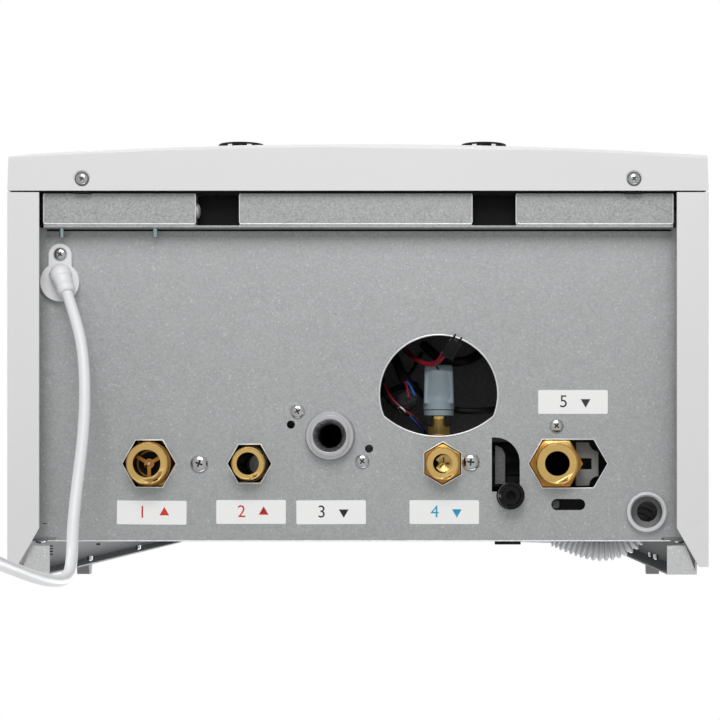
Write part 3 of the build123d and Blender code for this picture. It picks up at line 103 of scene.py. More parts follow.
# %% The lead's line
LEAD_RADIUS = 3.6 * MM
LEAD_ROUTE = [(-0.1845, -0.1870, 0.0070), (-0.1780, -0.1710, -0.0010), (-0.1712, -0.1500, -0.0100),
              (-0.1683, -0.1220, -0.0180), (-0.1686, -0.0920, -0.0250), (-0.1714, -0.0620, -0.0325),
              (-0.1722, -0.0380, -0.0430), (-0.1706, -0.0210, -0.0550), (-0.1688, -0.0100, -0.0760),
              (-0.1696, -0.0075, -0.1060), (-0.1745, -0.0105, -0.1440), (-0.1815, -0.0180, -0.1900),
              (-0.1870, -0.0260, -0.2400), (-0.1870, -0.0260, -0.2860)]
COIL_TOP = LEAD_ROUTE[-1][2] - 0.010
COIL_RADIUS = 48.0 * MM
COIL_PITCH = 8.7 * MM
TURNS_IN = 1.5
TURNS_OUT = 2.0
POINTS_A_TURN = 16
COIL_END = 10.0 * MM


def coil_route():
    """Control points of the coil: it spirals in, steps across half a turn, and spirals out again."""
    x, y = LEAD_ROUTE[-1][:2]
    centre = y - COIL_RADIUS
    outside = 1 / cos(pi / POINTS_A_TURN)
    route = []
    steps = round((TURNS_IN + 0.5 + TURNS_OUT) * POINTS_A_TURN)
    for step in range(1, steps):
        turned = step / POINTS_A_TURN
        inward = min(turned, TURNS_IN)
        outward = max(0, turned - TURNS_IN - 0.5)
        layer = min(max(turned - TURNS_IN, 0), 0.5) * 2
        radius = (COIL_RADIUS - COIL_PITCH * (inward - outward)) * outside
        angle = 2 * pi * turned
        route.append((x - COIL_PITCH * layer, centre + radius * cos(angle), COIL_TOP - radius * sin(angle)))
    last_y = centre + COIL_RADIUS - COIL_PITCH * (TURNS_IN - TURNS_OUT)
    last_x = x - COIL_PITCH
    route.append((last_x, last_y, COIL_TOP + 2 * MM))
    route.append((last_x, last_y, COIL_TOP - COIL_END))
    return route


def smooth_line(name, points, radius, sides=4):
    """A round NURBS line; its points are across, from the wall and above the casing's edge.

    The bevel is one metre and each point scales it to the radius, so the line's box stays true.
    """
    data = bpy.data.curves.new(name, "CURVE")
    data.dimensions = "3D"
    line = data.splines.new("NURBS")
    line.points.add(len(points) - 1)
    for point, (x, y, height) in zip(line.points, points):
        point.co = (*spot(x, y, height), 1)
        point.radius = radius or 1.0
    line.order_u = 3
    line.use_endpoint_u = True
    line.resolution_u = 8
    data.bevel_depth = 1.0 if radius else 0.0
    data.bevel_resolution = sides
    data.use_fill_caps = True
    piece = bpy.data.objects.new(name, data)
    bpy.context.scene.collection.objects.link(piece)
    return piece


lead = smooth_line("power_lead", LEAD_ROUTE + coil_route(), LEAD_RADIUS, sides=6)
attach(lead, "chassis")
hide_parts("power_cord", "cord_coil")


# %% [markdown]
# ## Floor, background and lamps
# The boiler floats over a plain pale floor, which lies below the camera so that it never stands in
# the way. The white background is the world's colour as the camera, gloss and glass see it, and the
# softer world light that falls on the object is kept apart from it with the Light Path node. Large
# square lamps stand in for a studio's soft boxes: one under the boiler, one in front, one above.

# %% Floor, world and lamps
FLOOR_LEVEL = up(-1.70)
bpy.ops.mesh.primitive_plane_add(size=12, location=(0, 0, FLOOR_LEVEL))
floor = bpy.context.active_object
floor.name = "floor"

WORLD_LIGHT = 0.36
world = bpy.data.worlds.new("pale_studio")
bpy.context.scene.world = world
world.use_nodes = True
world.node_tree.nodes.clear()


def add(tree, kind, sockets=None, **settings):
    """Add a node, set its properties, and set or link its inputs by name."""
    made = tree.nodes.new(kind)
    for key, value in settings.items():
        setattr(made, key, value)
    for key, value in (sockets or {}).items():
        if isinstance(value, bpy.types.NodeSocket):
            tree.links.new(value, made.inputs[key])
        else:
            made.inputs[key].default_value = value
    return made


def calculate(tree, operation, first, second=0.0, kind="ShaderNodeMath"):
    """The result of one operation on numbers, vectors or sockets."""
    return add(tree, kind, {0: first, 1: second}, operation=operation).outputs[0]


def remap(tree, value, from_min=0.0, from_max=1.0, to_min=0.0, to_max=1.0):
    """Carry a value over from one range to another."""
    return add(tree, "ShaderNodeMapRange", {"Value": value, "From Min": from_min, "From Max": from_max,
                                            "To Min": to_min, "To Max": to_max}).outputs[0]


def light_world(tree):
    """White for what is seen directly, and only WORLD_LIGHT of it for what it lights."""
    path = add(tree, "ShaderNodeLightPath").outputs
    seen = calculate(tree, "MAXIMUM", path["Is Camera Ray"], path["Is Glossy Ray"])
    seen = calculate(tree, "MAXIMUM", seen, path["Is Transmission Ray"])
    strength = remap(tree, seen, to_min=WORLD_LIGHT)
    sky = add(tree, "ShaderNodeBackground", {"Color": (1, 1, 1, 1), "Strength": strength})
    add(tree, "ShaderNodeOutputWorld", {"Surface": sky.outputs[0]})


light_world(world.node_tree)


def soft_box(name, place, aim, size, power):
    """A square lamp that faces a place."""
    bpy.ops.object.light_add(type="AREA", location=place)
    lamp = bpy.context.active_object
    lamp.name = name
    lamp.data.shape = "SQUARE"
    lamp.data.size = size
    lamp.data.energy = power
    lamp.rotation_euler = (Vector(aim) - Vector(place)).to_track_quat("-Z", "Y").to_euler()


MIDDLE = (0, -0.14, up(0.3))
UNDERSIDE = (0, -0.14, up(0.0))
soft_box("soft_box_below", (-0.02, -1.20, up(-1.30)), UNDERSIDE, 0.9, 15)
soft_box("soft_box_front", (-1.2, -2.4, up(1.2)), MIDDLE, 1.6, 34)
soft_box("soft_box_above", (1.0, 0.2, up(2.6)), MIDDLE, 1.6, 28)
soft_box("soft_box_behind", (0.8, 2.4, up(0.4)), MIDDLE, 1.6, 24)


# %% [markdown]
# ## Shared surface effects
# No real surface is one flat colour. Four effects turn up again and again: slow patchiness, fine
# grain, fine scuffs and the crystal spangle of zinc. Each is a node group, so a finish only says how
# much of it it wants. The groups put out plain values, and the shader stays in the material.

# %% Node groups
def new_group(name, inputs, output):
    """A shader group with a Vector input, float inputs and one float output."""
    group = bpy.data.node_groups.new(name, "ShaderNodeTree")
    group.interface.new_socket("Vector", in_out="INPUT", socket_type="NodeSocketVector")
    for title, value in inputs.items():
        socket = group.interface.new_socket(title, in_out="INPUT", socket_type="NodeSocketFloat")
        socket.default_value = value
    group.interface.new_socket(output, in_out="OUTPUT", socket_type="NodeSocketFloat")
    return group, add(group, "NodeGroupInput").outputs


def put_out(group, value):
    """Send a value to the group's output, which completes the group."""
    add(group, "NodeGroupOutput", {0: value})
    return group


def noise(group, vector, **values):
    return add(group, "ShaderNodeTexNoise", {"Vector": vector, **values}).outputs


def cell_tones(group, vector, scale):
    """Three values from 0 to 1 that every cell of a Voronoi pattern has for itself."""
    cells = add(group, "ShaderNodeTexVoronoi", {"Vector": vector, "Scale": scale})
    return add(group, "ShaderNodeSeparateColor", {"Color": cells.outputs["Color"]}).outputs


def spread(group, value, amount, from_min=0.0, from_max=1.0):
    """A shade round 1 that is more or less by the amount."""
    low = calculate(group, "SUBTRACT", 1.0, amount)
    high = calculate(group, "ADD", 1.0, amount)
    return remap(group, value, from_min, from_max, low, high)


def patchiness_group():
    """Slow change of shade: 1 on average, more or less by Amount."""
    group, given = new_group("patchiness", {"Scale": 12.0, "Amount": 0.1}, "Shade")
    clouds = noise(group, given["Vector"], Scale=given["Scale"], Detail=5.0, Roughness=0.6)
    return put_out(group, spread(group, clouds[0], given["Amount"], 0.25, 0.75))


def grain_group():
    """Fine grain, as a height from 0 to 1; Stretch drawn out along X gives brushing."""
    group, given = new_group("grain", {"Scale": 800.0, "Stretch": 1.0}, "Height")
    shrink = calculate(group, "DIVIDE", 1.0, given["Stretch"])
    scale = add(group, "ShaderNodeCombineXYZ", {"X": shrink, "Y": 1.0, "Z": 1.0}).outputs[0]
    drawn = calculate(group, "MULTIPLY", given["Vector"], scale, kind="ShaderNodeVectorMath")
    return put_out(group, noise(group, drawn, Scale=given["Scale"], Detail=2.0)[0])


def scuffs_group():
    """Sparse fine scratches: thin level lines of a warped noise, broken up by a second one."""
    group, given = new_group("scuffs", {"Scale": 18.0, "Amount": 0.5}, "Mask")
    warped = noise(group, given["Vector"], Scale=given["Scale"], Detail=1.0, Distortion=0.6)
    level = calculate(group, "ABSOLUTE", calculate(group, "SUBTRACT", warped[0], 0.5))
    thin = remap(group, level, from_max=0.0025, to_min=1.0, to_max=0.0)
    gaps = noise(group, given["Vector"], Scale=55.0, Detail=2.0)
    mask = calculate(group, "MULTIPLY", thin, remap(group, gaps[0], 0.56, 0.66))
    return put_out(group, calculate(group, "MULTIPLY", mask, given["Amount"]))


def spangle_group():
    """Zinc crystals: each cell of a Voronoi pattern has a shade of its own."""
    group, given = new_group("spangle", {"Scale": 90.0, "Amount": 0.1}, "Shade")
    warp = noise(group, given["Vector"], Scale=160.0, Detail=3.0)
    shift = calculate(group, "SUBTRACT", warp["Color"], (0.5, 0.5, 0.5), kind="ShaderNodeVectorMath")
    shift = add(group, "ShaderNodeVectorMath", {0: shift, "Scale": 0.012}, operation="SCALE").outputs[0]
    place = calculate(group, "ADD", given["Vector"], shift, kind="ShaderNodeVectorMath")
    tones = cell_tones(group, place, given["Scale"])
    return put_out(group, spread(group, tones[0], given["Amount"]))


def zinc_group():
    """Fine zinc grain: every tiny cell has its own tone, and a few of them are painted brighter by Points as
    painted glints.
    """
    group, given = new_group("zinc_grain_and_glints", {"Scale": 1500.0, "Amount": 0.05, "Points": 0.3}, "Shade")
    tones = cell_tones(group, given["Vector"], given["Scale"])
    shade = spread(group, tones[0], given["Amount"])
    # painted glints: the brightest few cells lighten the colour
    glint = remap(group, tones[1], 0.95, 1.0, to_max=given["Points"])
    return put_out(group, calculate(group, "ADD", shade, glint))


patchiness = patchiness_group()
grain = grain_group()
scuffs = scuffs_group()
spangle = spangle_group()
zinc_grain_and_glints = zinc_group()
print("shared effects:", [group.name for group in bpy.data.node_groups])


# %% [markdown]
# ## Finishes
# A finish starts from a few measured facts: its colour, how rough it is, and whether it is metal.
# Patchiness and scuffs then change the colour and the roughness, and the grain goes to a Bump node.
# The pattern follows Object coordinates, so it stays with the piece wherever the camera stands.

# %% Finish builder
def finish(name, colour, rough, metal=0, patch=(12, 0.06), grain_size=(800, 1), bump=0.00002,
           scuff=(18, 0.3), scuff_colour=None, spangled=None, glints=None, coat=0, shine=0.5):
    """A material with its colour, roughness and bump led by the shared effects.

    An effect's values go to the inputs of its group in order: scale, amount or stretch, points.
    """
    material = bpy.data.materials.new(name)
    material.use_nodes = True
    tree = material.node_tree
    tree.nodes.clear()
    place = add(tree, "ShaderNodeTexCoord").outputs["Object"]

    def effect(group, values):
        return add(tree, "ShaderNodeGroup", dict(enumerate((place, *values))), node_tree=group).outputs[0]

    shade = effect(patchiness, patch)
    # the zinc grain brings its painted glints into the colour here
    for group, values in ((spangle, spangled), (zinc_grain_and_glints, glints)):
        if values:
            shade = calculate(tree, "MULTIPLY", shade, effect(group, values))
    lit = add(tree, "ShaderNodeVectorMath", {0: colour, "Scale": shade}, operation="SCALE").outputs[0]
    worn = scuff_colour or tuple(min(1, 1.25 * part) for part in colour)
    mixed = add(tree, "ShaderNodeMix", {"Factor": effect(scuffs, scuff)}, data_type="RGBA")
    tree.links.new(lit, mixed.inputs["A"])
    mixed.inputs["B"].default_value = (*worn, 1)
    gloss = add(tree, "ShaderNodeMath", {0: shade, 1: rough}, operation="MULTIPLY", use_clamp=True)
    bumps = add(tree, "ShaderNodeBump", {"Height": effect(grain, grain_size), "Distance": bump})
    shader = add(tree, "ShaderNodeBsdfPrincipled", {
        "Base Color": mixed.outputs["Result"], "Roughness": gloss.outputs[0], "Normal": bumps.outputs[0],
        "Metallic": metal, "Coat Weight": coat, "Specular IOR Level": shine})
    add(tree, "ShaderNodeOutputMaterial", {"Surface": shader.outputs[0]})
    return material


# %% The finishes
ZINC = {"grain_size": (1800, 1), "bump": 0.00003, "scuff": (14, 0.35)}
MOULDED = {"grain_size": (2500, 1), "bump": 0.00003}
PLATED = {"grain_size": (2500, 1), "bump": 0.00001}

powder_coat = finish("powder_coat", (0.742, 0.742, 0.742), 0.42, patch=(6, 0.015), grain_size=(1400, 1),
                     bump=0.00003, scuff=(9, 0.12), scuff_colour=(0.6, 0.6, 0.6), coat=0.15)
galvanised = finish("galvanised_sheet", (0.40, 0.41, 0.413), 0.48, metal=0.7, patch=(9, 0.03),
                    spangled=(240, 0.022), glints=(1100, 0.10, 0.35), **ZINC)
rail_zinc = finish("coarse_zinc", (0.365, 0.37, 0.372), 0.5, metal=0.7, patch=(14, 0.05),
                   spangled=(800, 0.03), glints=(1200, 0.22, 0.35), **ZINC)
channel_zinc = finish("bright_zinc", (0.60, 0.605, 0.61), 0.52, metal=0.45, patch=(14, 0.05),
                      glints=(1100, 0.08, 0.3), **ZINC)
# A darker copy of the bright zinc: painted shade inside the rear rails' channels.
channel_painted_shade = finish("zinc_painted_shade", (0.24, 0.244, 0.25), 0.6, metal=0.3, patch=(14, 0.05),
                       glints=(1100, 0.08, 0.3), **ZINC)
blue_zinc = finish("blue_zinc_screw", (0.40, 0.53, 0.55), 0.16, metal=1, patch=(200, 0.1), **PLATED)
# Dark grey moulding for the return clip, also used as painted shade in the condensate outlet's bore and
# groove.
clip_grey_and_shade = finish("moulded_dark_grey_and_painted_shade", (0.27, 0.271, 0.273), 0.5, patch=(50, 0.08), scuff=(30, 0.25),
                   scuff_colour=(0.35, 0.35, 0.35), **MOULDED)
plain_steel = finish("plain_steel", (0.52, 0.52, 0.53), 0.33, metal=0.95, grain_size=(900, 8))
bright_screw = finish("zinc_plated_screw", (0.55, 0.555, 0.56), 0.16, metal=1, patch=(200, 0.06), **PLATED)
# Dark brown painted shade for the screws' cross recesses.
recess_painted_shade = finish("cross_recess_painted_shade", (0.085, 0.06, 0.045), 0.4, metal=0.6, patch=(300, 0.3), **PLATED)
brass = finish("turned_brass", (0.66, 0.44, 0.155), 0.36, metal=1, patch=(50, 0.07), grain_size=(1500, 1),
               scuff=(60, 0.15), scuff_colour=(0.80, 0.60, 0.28))
bronze = finish("bronze_valve", (0.50, 0.22, 0.045), 0.35, metal=1, patch=(90, 0.15), grain_size=(1500, 1),
                bump=0.00003, scuff=(60, 0.1))
# Near-black painted shade for the deep insides of the fittings.
painted_bore_shade = finish("bore_painted_shade", (0.018, 0.016, 0.015), 0.45, metal=0.2, patch=(90, 0.3), bump=0.00005,
                   grain_size=(1200, 1), scuff=(60, 0.2), scuff_colour=(0.06, 0.05, 0.04), shine=0.15)
copper = finish("copper_pipe", (0.62, 0.30, 0.19), 0.3, metal=1, patch=(20, 0.15), grain_size=(700, 10))
stainless = finish("stainless_sheet", (0.58, 0.58, 0.58), 0.28, metal=1, grain_size=(500, 14), bump=0.00003)
cast_aluminium = finish("cast_aluminium", (0.52, 0.53, 0.54), 0.55, metal=0.9, patch=(40, 0.08),
                        grain_size=(1200, 1), bump=0.0001)
cast_iron = finish("pump_enamel", (0.08, 0.08, 0.085), 0.55, patch=(30, 0.15), bump=0.0001)
vessel_red = finish("vessel_enamel", (0.42, 0.03, 0.025), 0.3, patch=(8, 0.05), coat=0.3)
# Black moulding, also used as painted shade in gaps, notches, slots and grooves.
black_plastic = finish("moulded_black_and_painted_shade", (0.009, 0.009, 0.0095), 0.42, patch=(40, 0.2), scuff=(30, 0.25),
                       scuff_colour=(0.03, 0.03, 0.03), shine=0.1, **MOULDED)
# Scratched dark grey for the control box, the drain plate and a peg, also used as painted shade under the
# cover screws and above the access opening.
shield_grey_and_shade = finish("scratched_grey_and_painted_shade", (0.105, 0.105, 0.107), 0.5, patch=(24, 0.3), grain_size=(2000, 1),
                     bump=0.00003, scuff=(26, 0.6), scuff_colour=(0.2, 0.2, 0.2), glints=(1400, 0.3, 1))
grey_plastic = finish("tap_grey", (0.234, 0.296, 0.326), 0.5, patch=(60, 0.06), grain_size=(2000, 1),
                      scuff_colour=(0.45, 0.55, 0.58))
pale_plastic = finish("pale_grey_moulding", (0.62, 0.63, 0.64), 0.4, patch=(30, 0.03))
white_plastic = finish("white_moulding", (0.80, 0.80, 0.81), 0.35, patch=(30, 0.02))
white_rubber = finish("white_lead_sheath", (0.80, 0.805, 0.82), 0.38, patch=(30, 0.02), scuff=(30, 0.1),
                      scuff_colour=(0.6, 0.6, 0.6))
red_plastic = finish("red_moulding", (0.5, 0.02, 0.02), 0.3, patch=(40, 0.05))
dark_glass = finish("display_window", (0.012, 0.013, 0.015), 0.12, patch=(10, 0.02), bump=0.000005, coat=0.6)
circuit_board = finish("circuit_board", (0.02, 0.14, 0.06), 0.4, patch=(300, 0.3), grain_size=(600, 1))
sticker_vinyl = finish("sticker_vinyl", (0.90, 0.90, 0.895), 0.5, patch=(20, 0.01), grain_size=(3000, 1))

SLOT_FINISH = {
    "painted_white": powder_coat, "galvanised": galvanised, "steel": plain_steel, "screw_steel": bright_screw,
    "brass": brass, "copper": copper, "stainless": stainless, "cast_aluminium": cast_aluminium,
    "cast_iron": cast_iron, "red_steel": vessel_red, "black_plastic": black_plastic,
    "grey_plastic": grey_plastic, "pale_grey_plastic": pale_plastic, "white_plastic": white_plastic,
    "white_rubber": white_rubber, "red_plastic": red_plastic, "dark_glass": dark_glass,
    "board": circuit_board, "sticker": sticker_vinyl,
}


def paint(piece, material):
    piece.data.materials.clear()
    piece.data.materials.append(material)


for part in frame["record"]["subparts"]:
    paint(nodes[part["node"]], SLOT_FINISH[part["material_slot"]])
paint(nodes["control_box"], shield_grey_and_shade)
paint(lead, white_rubber)
paint(floor, finish("pale_floor", (0.84, 0.84, 0.84), 0.9, patch=(2.0, 0.01), scuff=(3.0, 0.0)))
print("finished", len(nodes), "construction nodes with", len(SLOT_FINISH), "finishes")


# %% [markdown]
# ## Hands: the helpers that every new piece uses
# An operator acts on whatever is selected, and the construction's nodes come in selected, so each
# piece starts from an empty selection. When its shape is done it is settled: made a mesh, its
# place moved into the mesh, painted, and told which body it rides on.

# %% Modelling helpers
def only(piece):
    """Select and activate this piece and nothing else."""
    bpy.ops.object.select_all(action="DESELECT")
    piece.select_set(True)
    bpy.context.view_layer.objects.active = piece


def start(name):
    """Name the primitive that was just added and leave it alone in the selection."""
    piece = bpy.context.active_object
    piece.name = name
    only(piece)
    return piece


def edit(mode="FACE", action="DESELECT"):
    """Go into edit mode with nothing selected, or with everything."""
    bpy.ops.object.mode_set(mode="EDIT")
    bpy.ops.mesh.select_mode(type=mode)
    bpy.ops.mesh.select_all(action=action)


def leave():
    bpy.ops.object.mode_set(mode="OBJECT")


def face_outwards():
    """Turn the front of every face outwards and leave edit mode."""
    bpy.ops.mesh.select_all(action="SELECT")
    bpy.ops.mesh.normals_make_consistent(inside=False)
    leave()


def pick(piece, wanted, kind="faces"):
    """Select only the faces, edges or vertices that a test accepts; the piece is in edit mode."""
    bpy.ops.mesh.select_all(action="DESELECT")
    mesh = bmesh.from_edit_mesh(piece.data)
    for element in getattr(mesh, kind):
        if wanted(element):
            element.select_set(True)
    mesh.select_flush_mode()
    bmesh.update_edit_mesh(piece.data)


def extrude(way, operator="extrude_region_move"):
    """Extrude what is selected and move it along a way."""
    getattr(bpy.ops.mesh, operator)(TRANSFORM_OT_translate={"value": way})


def draw_out(profile, operator):
    """Extrude a selected circle along Z through pairs of level and radius; the first is its own."""
    level, radius = profile[0]
    for next_level, next_radius in profile[1:]:
        extrude((0, 0, next_level - level), operator)
        grow = next_radius / radius
        bpy.ops.transform.resize(value=(grow, grow, 1), center_override=(0, 0, next_level))
        level, radius = next_level, next_radius


def step_in(steps, unit):
    """Inset the selected face and move it along Z, step by step, in shares of a unit."""
    for inset, rise in steps:
        bpy.ops.mesh.inset(thickness=inset * unit)
        bpy.ops.transform.translate(value=(0, 0, rise * unit))


def modify(piece, kind, **settings):
    """Add a modifier and apply it at once."""
    only(piece)
    modifier = piece.modifiers.new(kind.title(), kind)
    for key, value in settings.items():
        setattr(modifier, key, value)
    bpy.ops.object.modifier_apply(modifier=modifier.name)


def cut(piece, cutter):
    """Take one piece out of another, and remove the cutter."""
    modify(piece, "BOOLEAN", operation="DIFFERENCE", object=cutter, solver="EXACT")
    bpy.data.objects.remove(cutter)


def smooth(piece, angle=32):
    only(piece)
    bpy.ops.object.shade_smooth_by_angle(angle=radians(angle))


def towards(way, axis=(0, 0, 1)):
    """The turn that makes an axis point along a way."""
    return Vector(axis).rotation_difference(Vector(way)).to_matrix().to_4x4()


def settle(piece, body, material, slot, *replaced):
    """Put the piece's place into its mesh, paint it and let it ride."""
    only(piece)
    bpy.ops.object.convert(target="MESH")
    bpy.ops.object.transform_apply(location=True, rotation=True, scale=True)
    paint(piece, material)
    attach(piece, body)
    if replaced:
        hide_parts(*replaced)
    return piece


def joined(name, pieces):
    """Join several meshes into one piece."""
    bpy.ops.object.select_all(action="DESELECT")
    for piece in pieces:
        piece.select_set(True)
    bpy.context.view_layer.objects.active = pieces[0]
    bpy.ops.object.join()
    pieces[0].name = name
    return pieces[0]


def second_finish(piece, material, wanted):
    """Give the faces that a test accepts one more finish."""
    piece.data.materials.append(material)
    for face in piece.data.polygons:
        if wanted(face):
            face.material_index = len(piece.data.materials) - 1


def block(name, place, size, turn=(0, 0, 0)):
    bpy.ops.mesh.primitive_cube_add(size=1, location=place, rotation=turn)
    piece = start(name)
    piece.scale = size
    bpy.ops.object.transform_apply(location=False, rotation=False, scale=True)
    return piece


def small_block(name, place, size, turn=(0, 0, 0), edge=0.1 * MM):
    """A little block with broken edges."""
    piece = block(name, place, size, turn)
    modify(piece, "BEVEL", width=edge, segments=2)
    return piece


def cylinder(name, place, radius, depth, sides, turn=(0, 0, 0)):
    bpy.ops.mesh.primitive_cylinder_add(vertices=sides, radius=radius, depth=depth, location=place,
                                        rotation=turn)
    return start(name)


def torus(name, place, radius, thick, sides=72, turn=(0, 0, 0)):
    bpy.ops.mesh.primitive_torus_add(major_radius=radius, minor_radius=thick, major_segments=sides,
                                     minor_segments=8, location=place, rotation=turn)
    ring = start(name)
    smooth(ring, 60)
    return ring


def copied(node, name):
    """A merged copy of a construction node, in flat faces instead of loose triangles."""
    piece = nodes[node].copy()
    piece.data = nodes[node].data.copy()
    piece.name = name
    bpy.context.scene.collection.objects.link(piece)
    only(piece)
    edit(action="SELECT")
    bpy.ops.mesh.remove_doubles(threshold=0.000002)
    bpy.ops.mesh.dissolve_limited(angle_limit=radians(0.5))
    leave()
    return piece


# %% [markdown]
# ## Folded and moulded edges
# No folded sheet and no moulding has a knife-sharp edge, and it is the thin bright line along the
# edge that tells the eye so. The construction leaves these edges sharp, so each such piece is
# copied, merged into flat faces and given a Bevel modifier that rounds only its sharp corners.

# %% Rounded edges on the construction's pieces
SHEET_EDGE = 0.35 * MM
SMALL_EDGE = 0.3 * MM
MOULDED_EDGE = 0.8 * MM


def body_of(node):
    """The body that a construction node rides on."""
    return next(body for body, names in frame["record"]["behaviour"]["bodies"].items() if node in names)


def rounded(node, width, material=None, segments=2, angle=40):
    """A copy of a node with its sharp corners rounded; big flat faces keep their own normals."""
    slot = next(part["material_slot"] for part in frame["record"]["subparts"] if part["node"] == node)
    piece = copied(node, node + "_rounded")
    modify(piece, "BEVEL", width=width, segments=segments, limit_method="ANGLE", angle_limit=radians(angle))
    smooth(piece, 35)
    modify(piece, "WEIGHTED_NORMAL", keep_sharp=True)
    return settle(piece, body_of(node), material or SLOT_FINISH[slot], slot, node)


for node in ("front_cover", "side_casing_left", "side_casing_right", "top_panel", "hanging_rail"):
    rounded(node, SHEET_EDGE)
channel_mouth = spot(0, 0, 0.009).z
# Faces above the channel's mouth get the darker zinc: painted shade inside the channel.
second_finish(rounded("rear_rails", SHEET_EDGE, channel_zinc), channel_painted_shade,
              lambda face: face.center.z > channel_mouth)
RAIL_FRONT, RAIL_REAR, RAIL_LOW = -0.2472, -0.2257, 0.006
RAIL_FOLD = 1.3 * MM
# The rail's tab in front of its fold is painted black: painted shade in the gap under the cover.
second_finish(rounded("front_cross_rail", SHEET_EDGE, rail_zinc), black_plastic,
              lambda face: face.center.y - HANG_DEPTH < RAIL_FRONT - RAIL_FOLD)
for node in ("knob_left", "knob_right", "mode_button", "reset_button", "drain_cock",
             "gas_inlet_fitting", "relief_knob", "flue_turret", "display"):
    rounded(node, SMALL_EDGE)
SCREW_CLEARING = (22 * MM, 17.6 * MM, 14.8 * MM)     # room for the screw beside the gland
cut(rounded("power_gland", MOULDED_EDGE, segments=3),
    block("screw_clearing", spot(-0.1896, -0.2063, 0.0075), SCREW_CLEARING))
rounded("power_plug", MOULDED_EDGE, segments=3)
rounded("fill_valve", SMALL_EDGE)
rounded("return_clip", MOULDED_EDGE, clip_grey_and_shade)
drain_stop = spot(0.0940, 0, 0.0335)      # the drain's dark plate is left of this and below it
second_finish(rounded("drain_body", SMALL_EDGE), shield_grey_and_shade,
              lambda face: face.center.x < drain_stop.x and face.center.z < drain_stop.z)
TAP_X, TAP_HEIGHT, TAP_FRONT, TAP_HALF = 0.0505, 0.045, -0.1416, 0.0062
OUTLET_X, OUTLET_Y, OUTLET_BORE = 0.1825, -0.0463, 10.6 * MM
outlet_axis = spot(OUTLET_X, OUTLET_Y, 0.0170)
# The upper faces inside the outlet's bore are dark grey: painted shade in the bore.
second_finish(rounded("condensate_outlet", SMALL_EDGE), clip_grey_and_shade,
              lambda face: (face.center - outlet_axis).xy.length < OUTLET_BORE
              and face.center.z > outlet_axis.z)


# %% [markdown]
# ## The filling tap's knob
# The knob is shaped by hand. Its grip is a block whose front face is slanted by moving two of its
# corners, and a cylinder and a sphere cut the long thumb hollow out of it. Three short cylinders
# make the collar behind it.

# %% The filling tap's knob
GRIP_END = -0.1150
HOLLOW = 12 * MM
COLLARS = [(10.0, -0.1137, 4.2), (9.7, -0.1106, 2.6), (9.6, -0.1089, 1.9)]   # radius, place, length


def tap_grip():
    """A block with a slanted end, a wider root and a thumb hollow below."""
    middle = (TAP_FRONT + GRIP_END) / 2
    bpy.ops.mesh.primitive_cube_add(size=1, location=spot(TAP_X, middle, TAP_HEIGHT))
    grip = start("fill_knob_shaped")
    grip.scale = (18.4 * MM, GRIP_END - TAP_FRONT, 2 * TAP_HALF)
    bpy.ops.object.transform_apply(location=True, rotation=False, scale=True)
    edit("VERT")
    front = spot(TAP_X, TAP_FRONT + 0.5 * MM, TAP_HEIGHT)
    pick(grip, lambda vertex: vertex.co.y < front.y and vertex.co.z < front.z, "verts")
    bpy.ops.transform.translate(value=(0, 5.0 * MM, 0))
    pick(grip, lambda vertex: vertex.co.y > front.y + 10 * MM, "verts")
    bpy.ops.transform.resize(value=(1.06, 1, 1.25), center_override=spot(TAP_X, GRIP_END, TAP_HEIGHT))
    leave()
    modify(grip, "BEVEL", width=1.6 * MM, segments=4, limit_method="ANGLE", angle_limit=radians(40))
    level = TAP_HEIGHT - TAP_HALF - 10.4 * MM
    cut(grip, cylinder("thumb_hollow", spot(TAP_X, -0.1372, level), HOLLOW, 30 * MM, 64, (pi / 2, 0, 0)))
    bpy.ops.mesh.primitive_uv_sphere_add(segments=64, ring_count=32, radius=HOLLOW,
                                         location=spot(TAP_X, -0.1222, level))
    cut(grip, start("thumb_hollow"))
    return grip


def tap_knob():
    """The grip on its grooved collar, with black painted shade in the groove and in the slot that marks the
    grip's end.
    """
    parts = [tap_grip()]
    for radius, back, length in COLLARS:
        ring = cylinder("collar", spot(TAP_X, back, TAP_HEIGHT), radius * MM, length * MM, 64, (pi / 2, 0, 0))
        modify(ring, "BEVEL", width=0.4 * MM, segments=3, limit_method="ANGLE")
        parts.append(ring)
    knob = joined("fill_knob_shaped", parts)
    smooth(knob, 30)
    modify(knob, "WEIGHTED_NORMAL", keep_sharp=True)
    body = body_of("fill_knob")
    settle(knob, body, grey_plastic, "grey_plastic", "fill_knob")
    # A black ring and a black block: painted shade in the collar's groove and in the grip's end slot.
    groove = torus("knob_groove_shade", spot(TAP_X, -0.1118, TAP_HEIGHT), 9.75 * MM, 0.3 * MM, 64, (pi / 2, 0, 0))
    settle(groove, body, black_plastic, "black_plastic")
    mark = small_block("knob_slot_shade", spot(TAP_X - 0.8 * MM, TAP_FRONT + 2.6 * MM, TAP_HEIGHT),
                       (0.9 * MM, 9.0 * MM, 1.8 * MM), (radians(-70), 0, radians(-31)), 0.2 * MM)
    settle(mark, body, black_plastic, "black_plastic")


tap_knob()
print("tap knob:", len(COLLARS), "collars behind its grip")


# %% [markdown]
# ## The condensate hose
# The ribbed hose carries the condensate from the trap, round behind the plate's rear edge and down
# into its outlet. One rib is extruded from a circle, ring by ring, the Array modifier repeats it,
# and the Curve modifier lays the row along the hose's line. Solidify then gives it a wall.

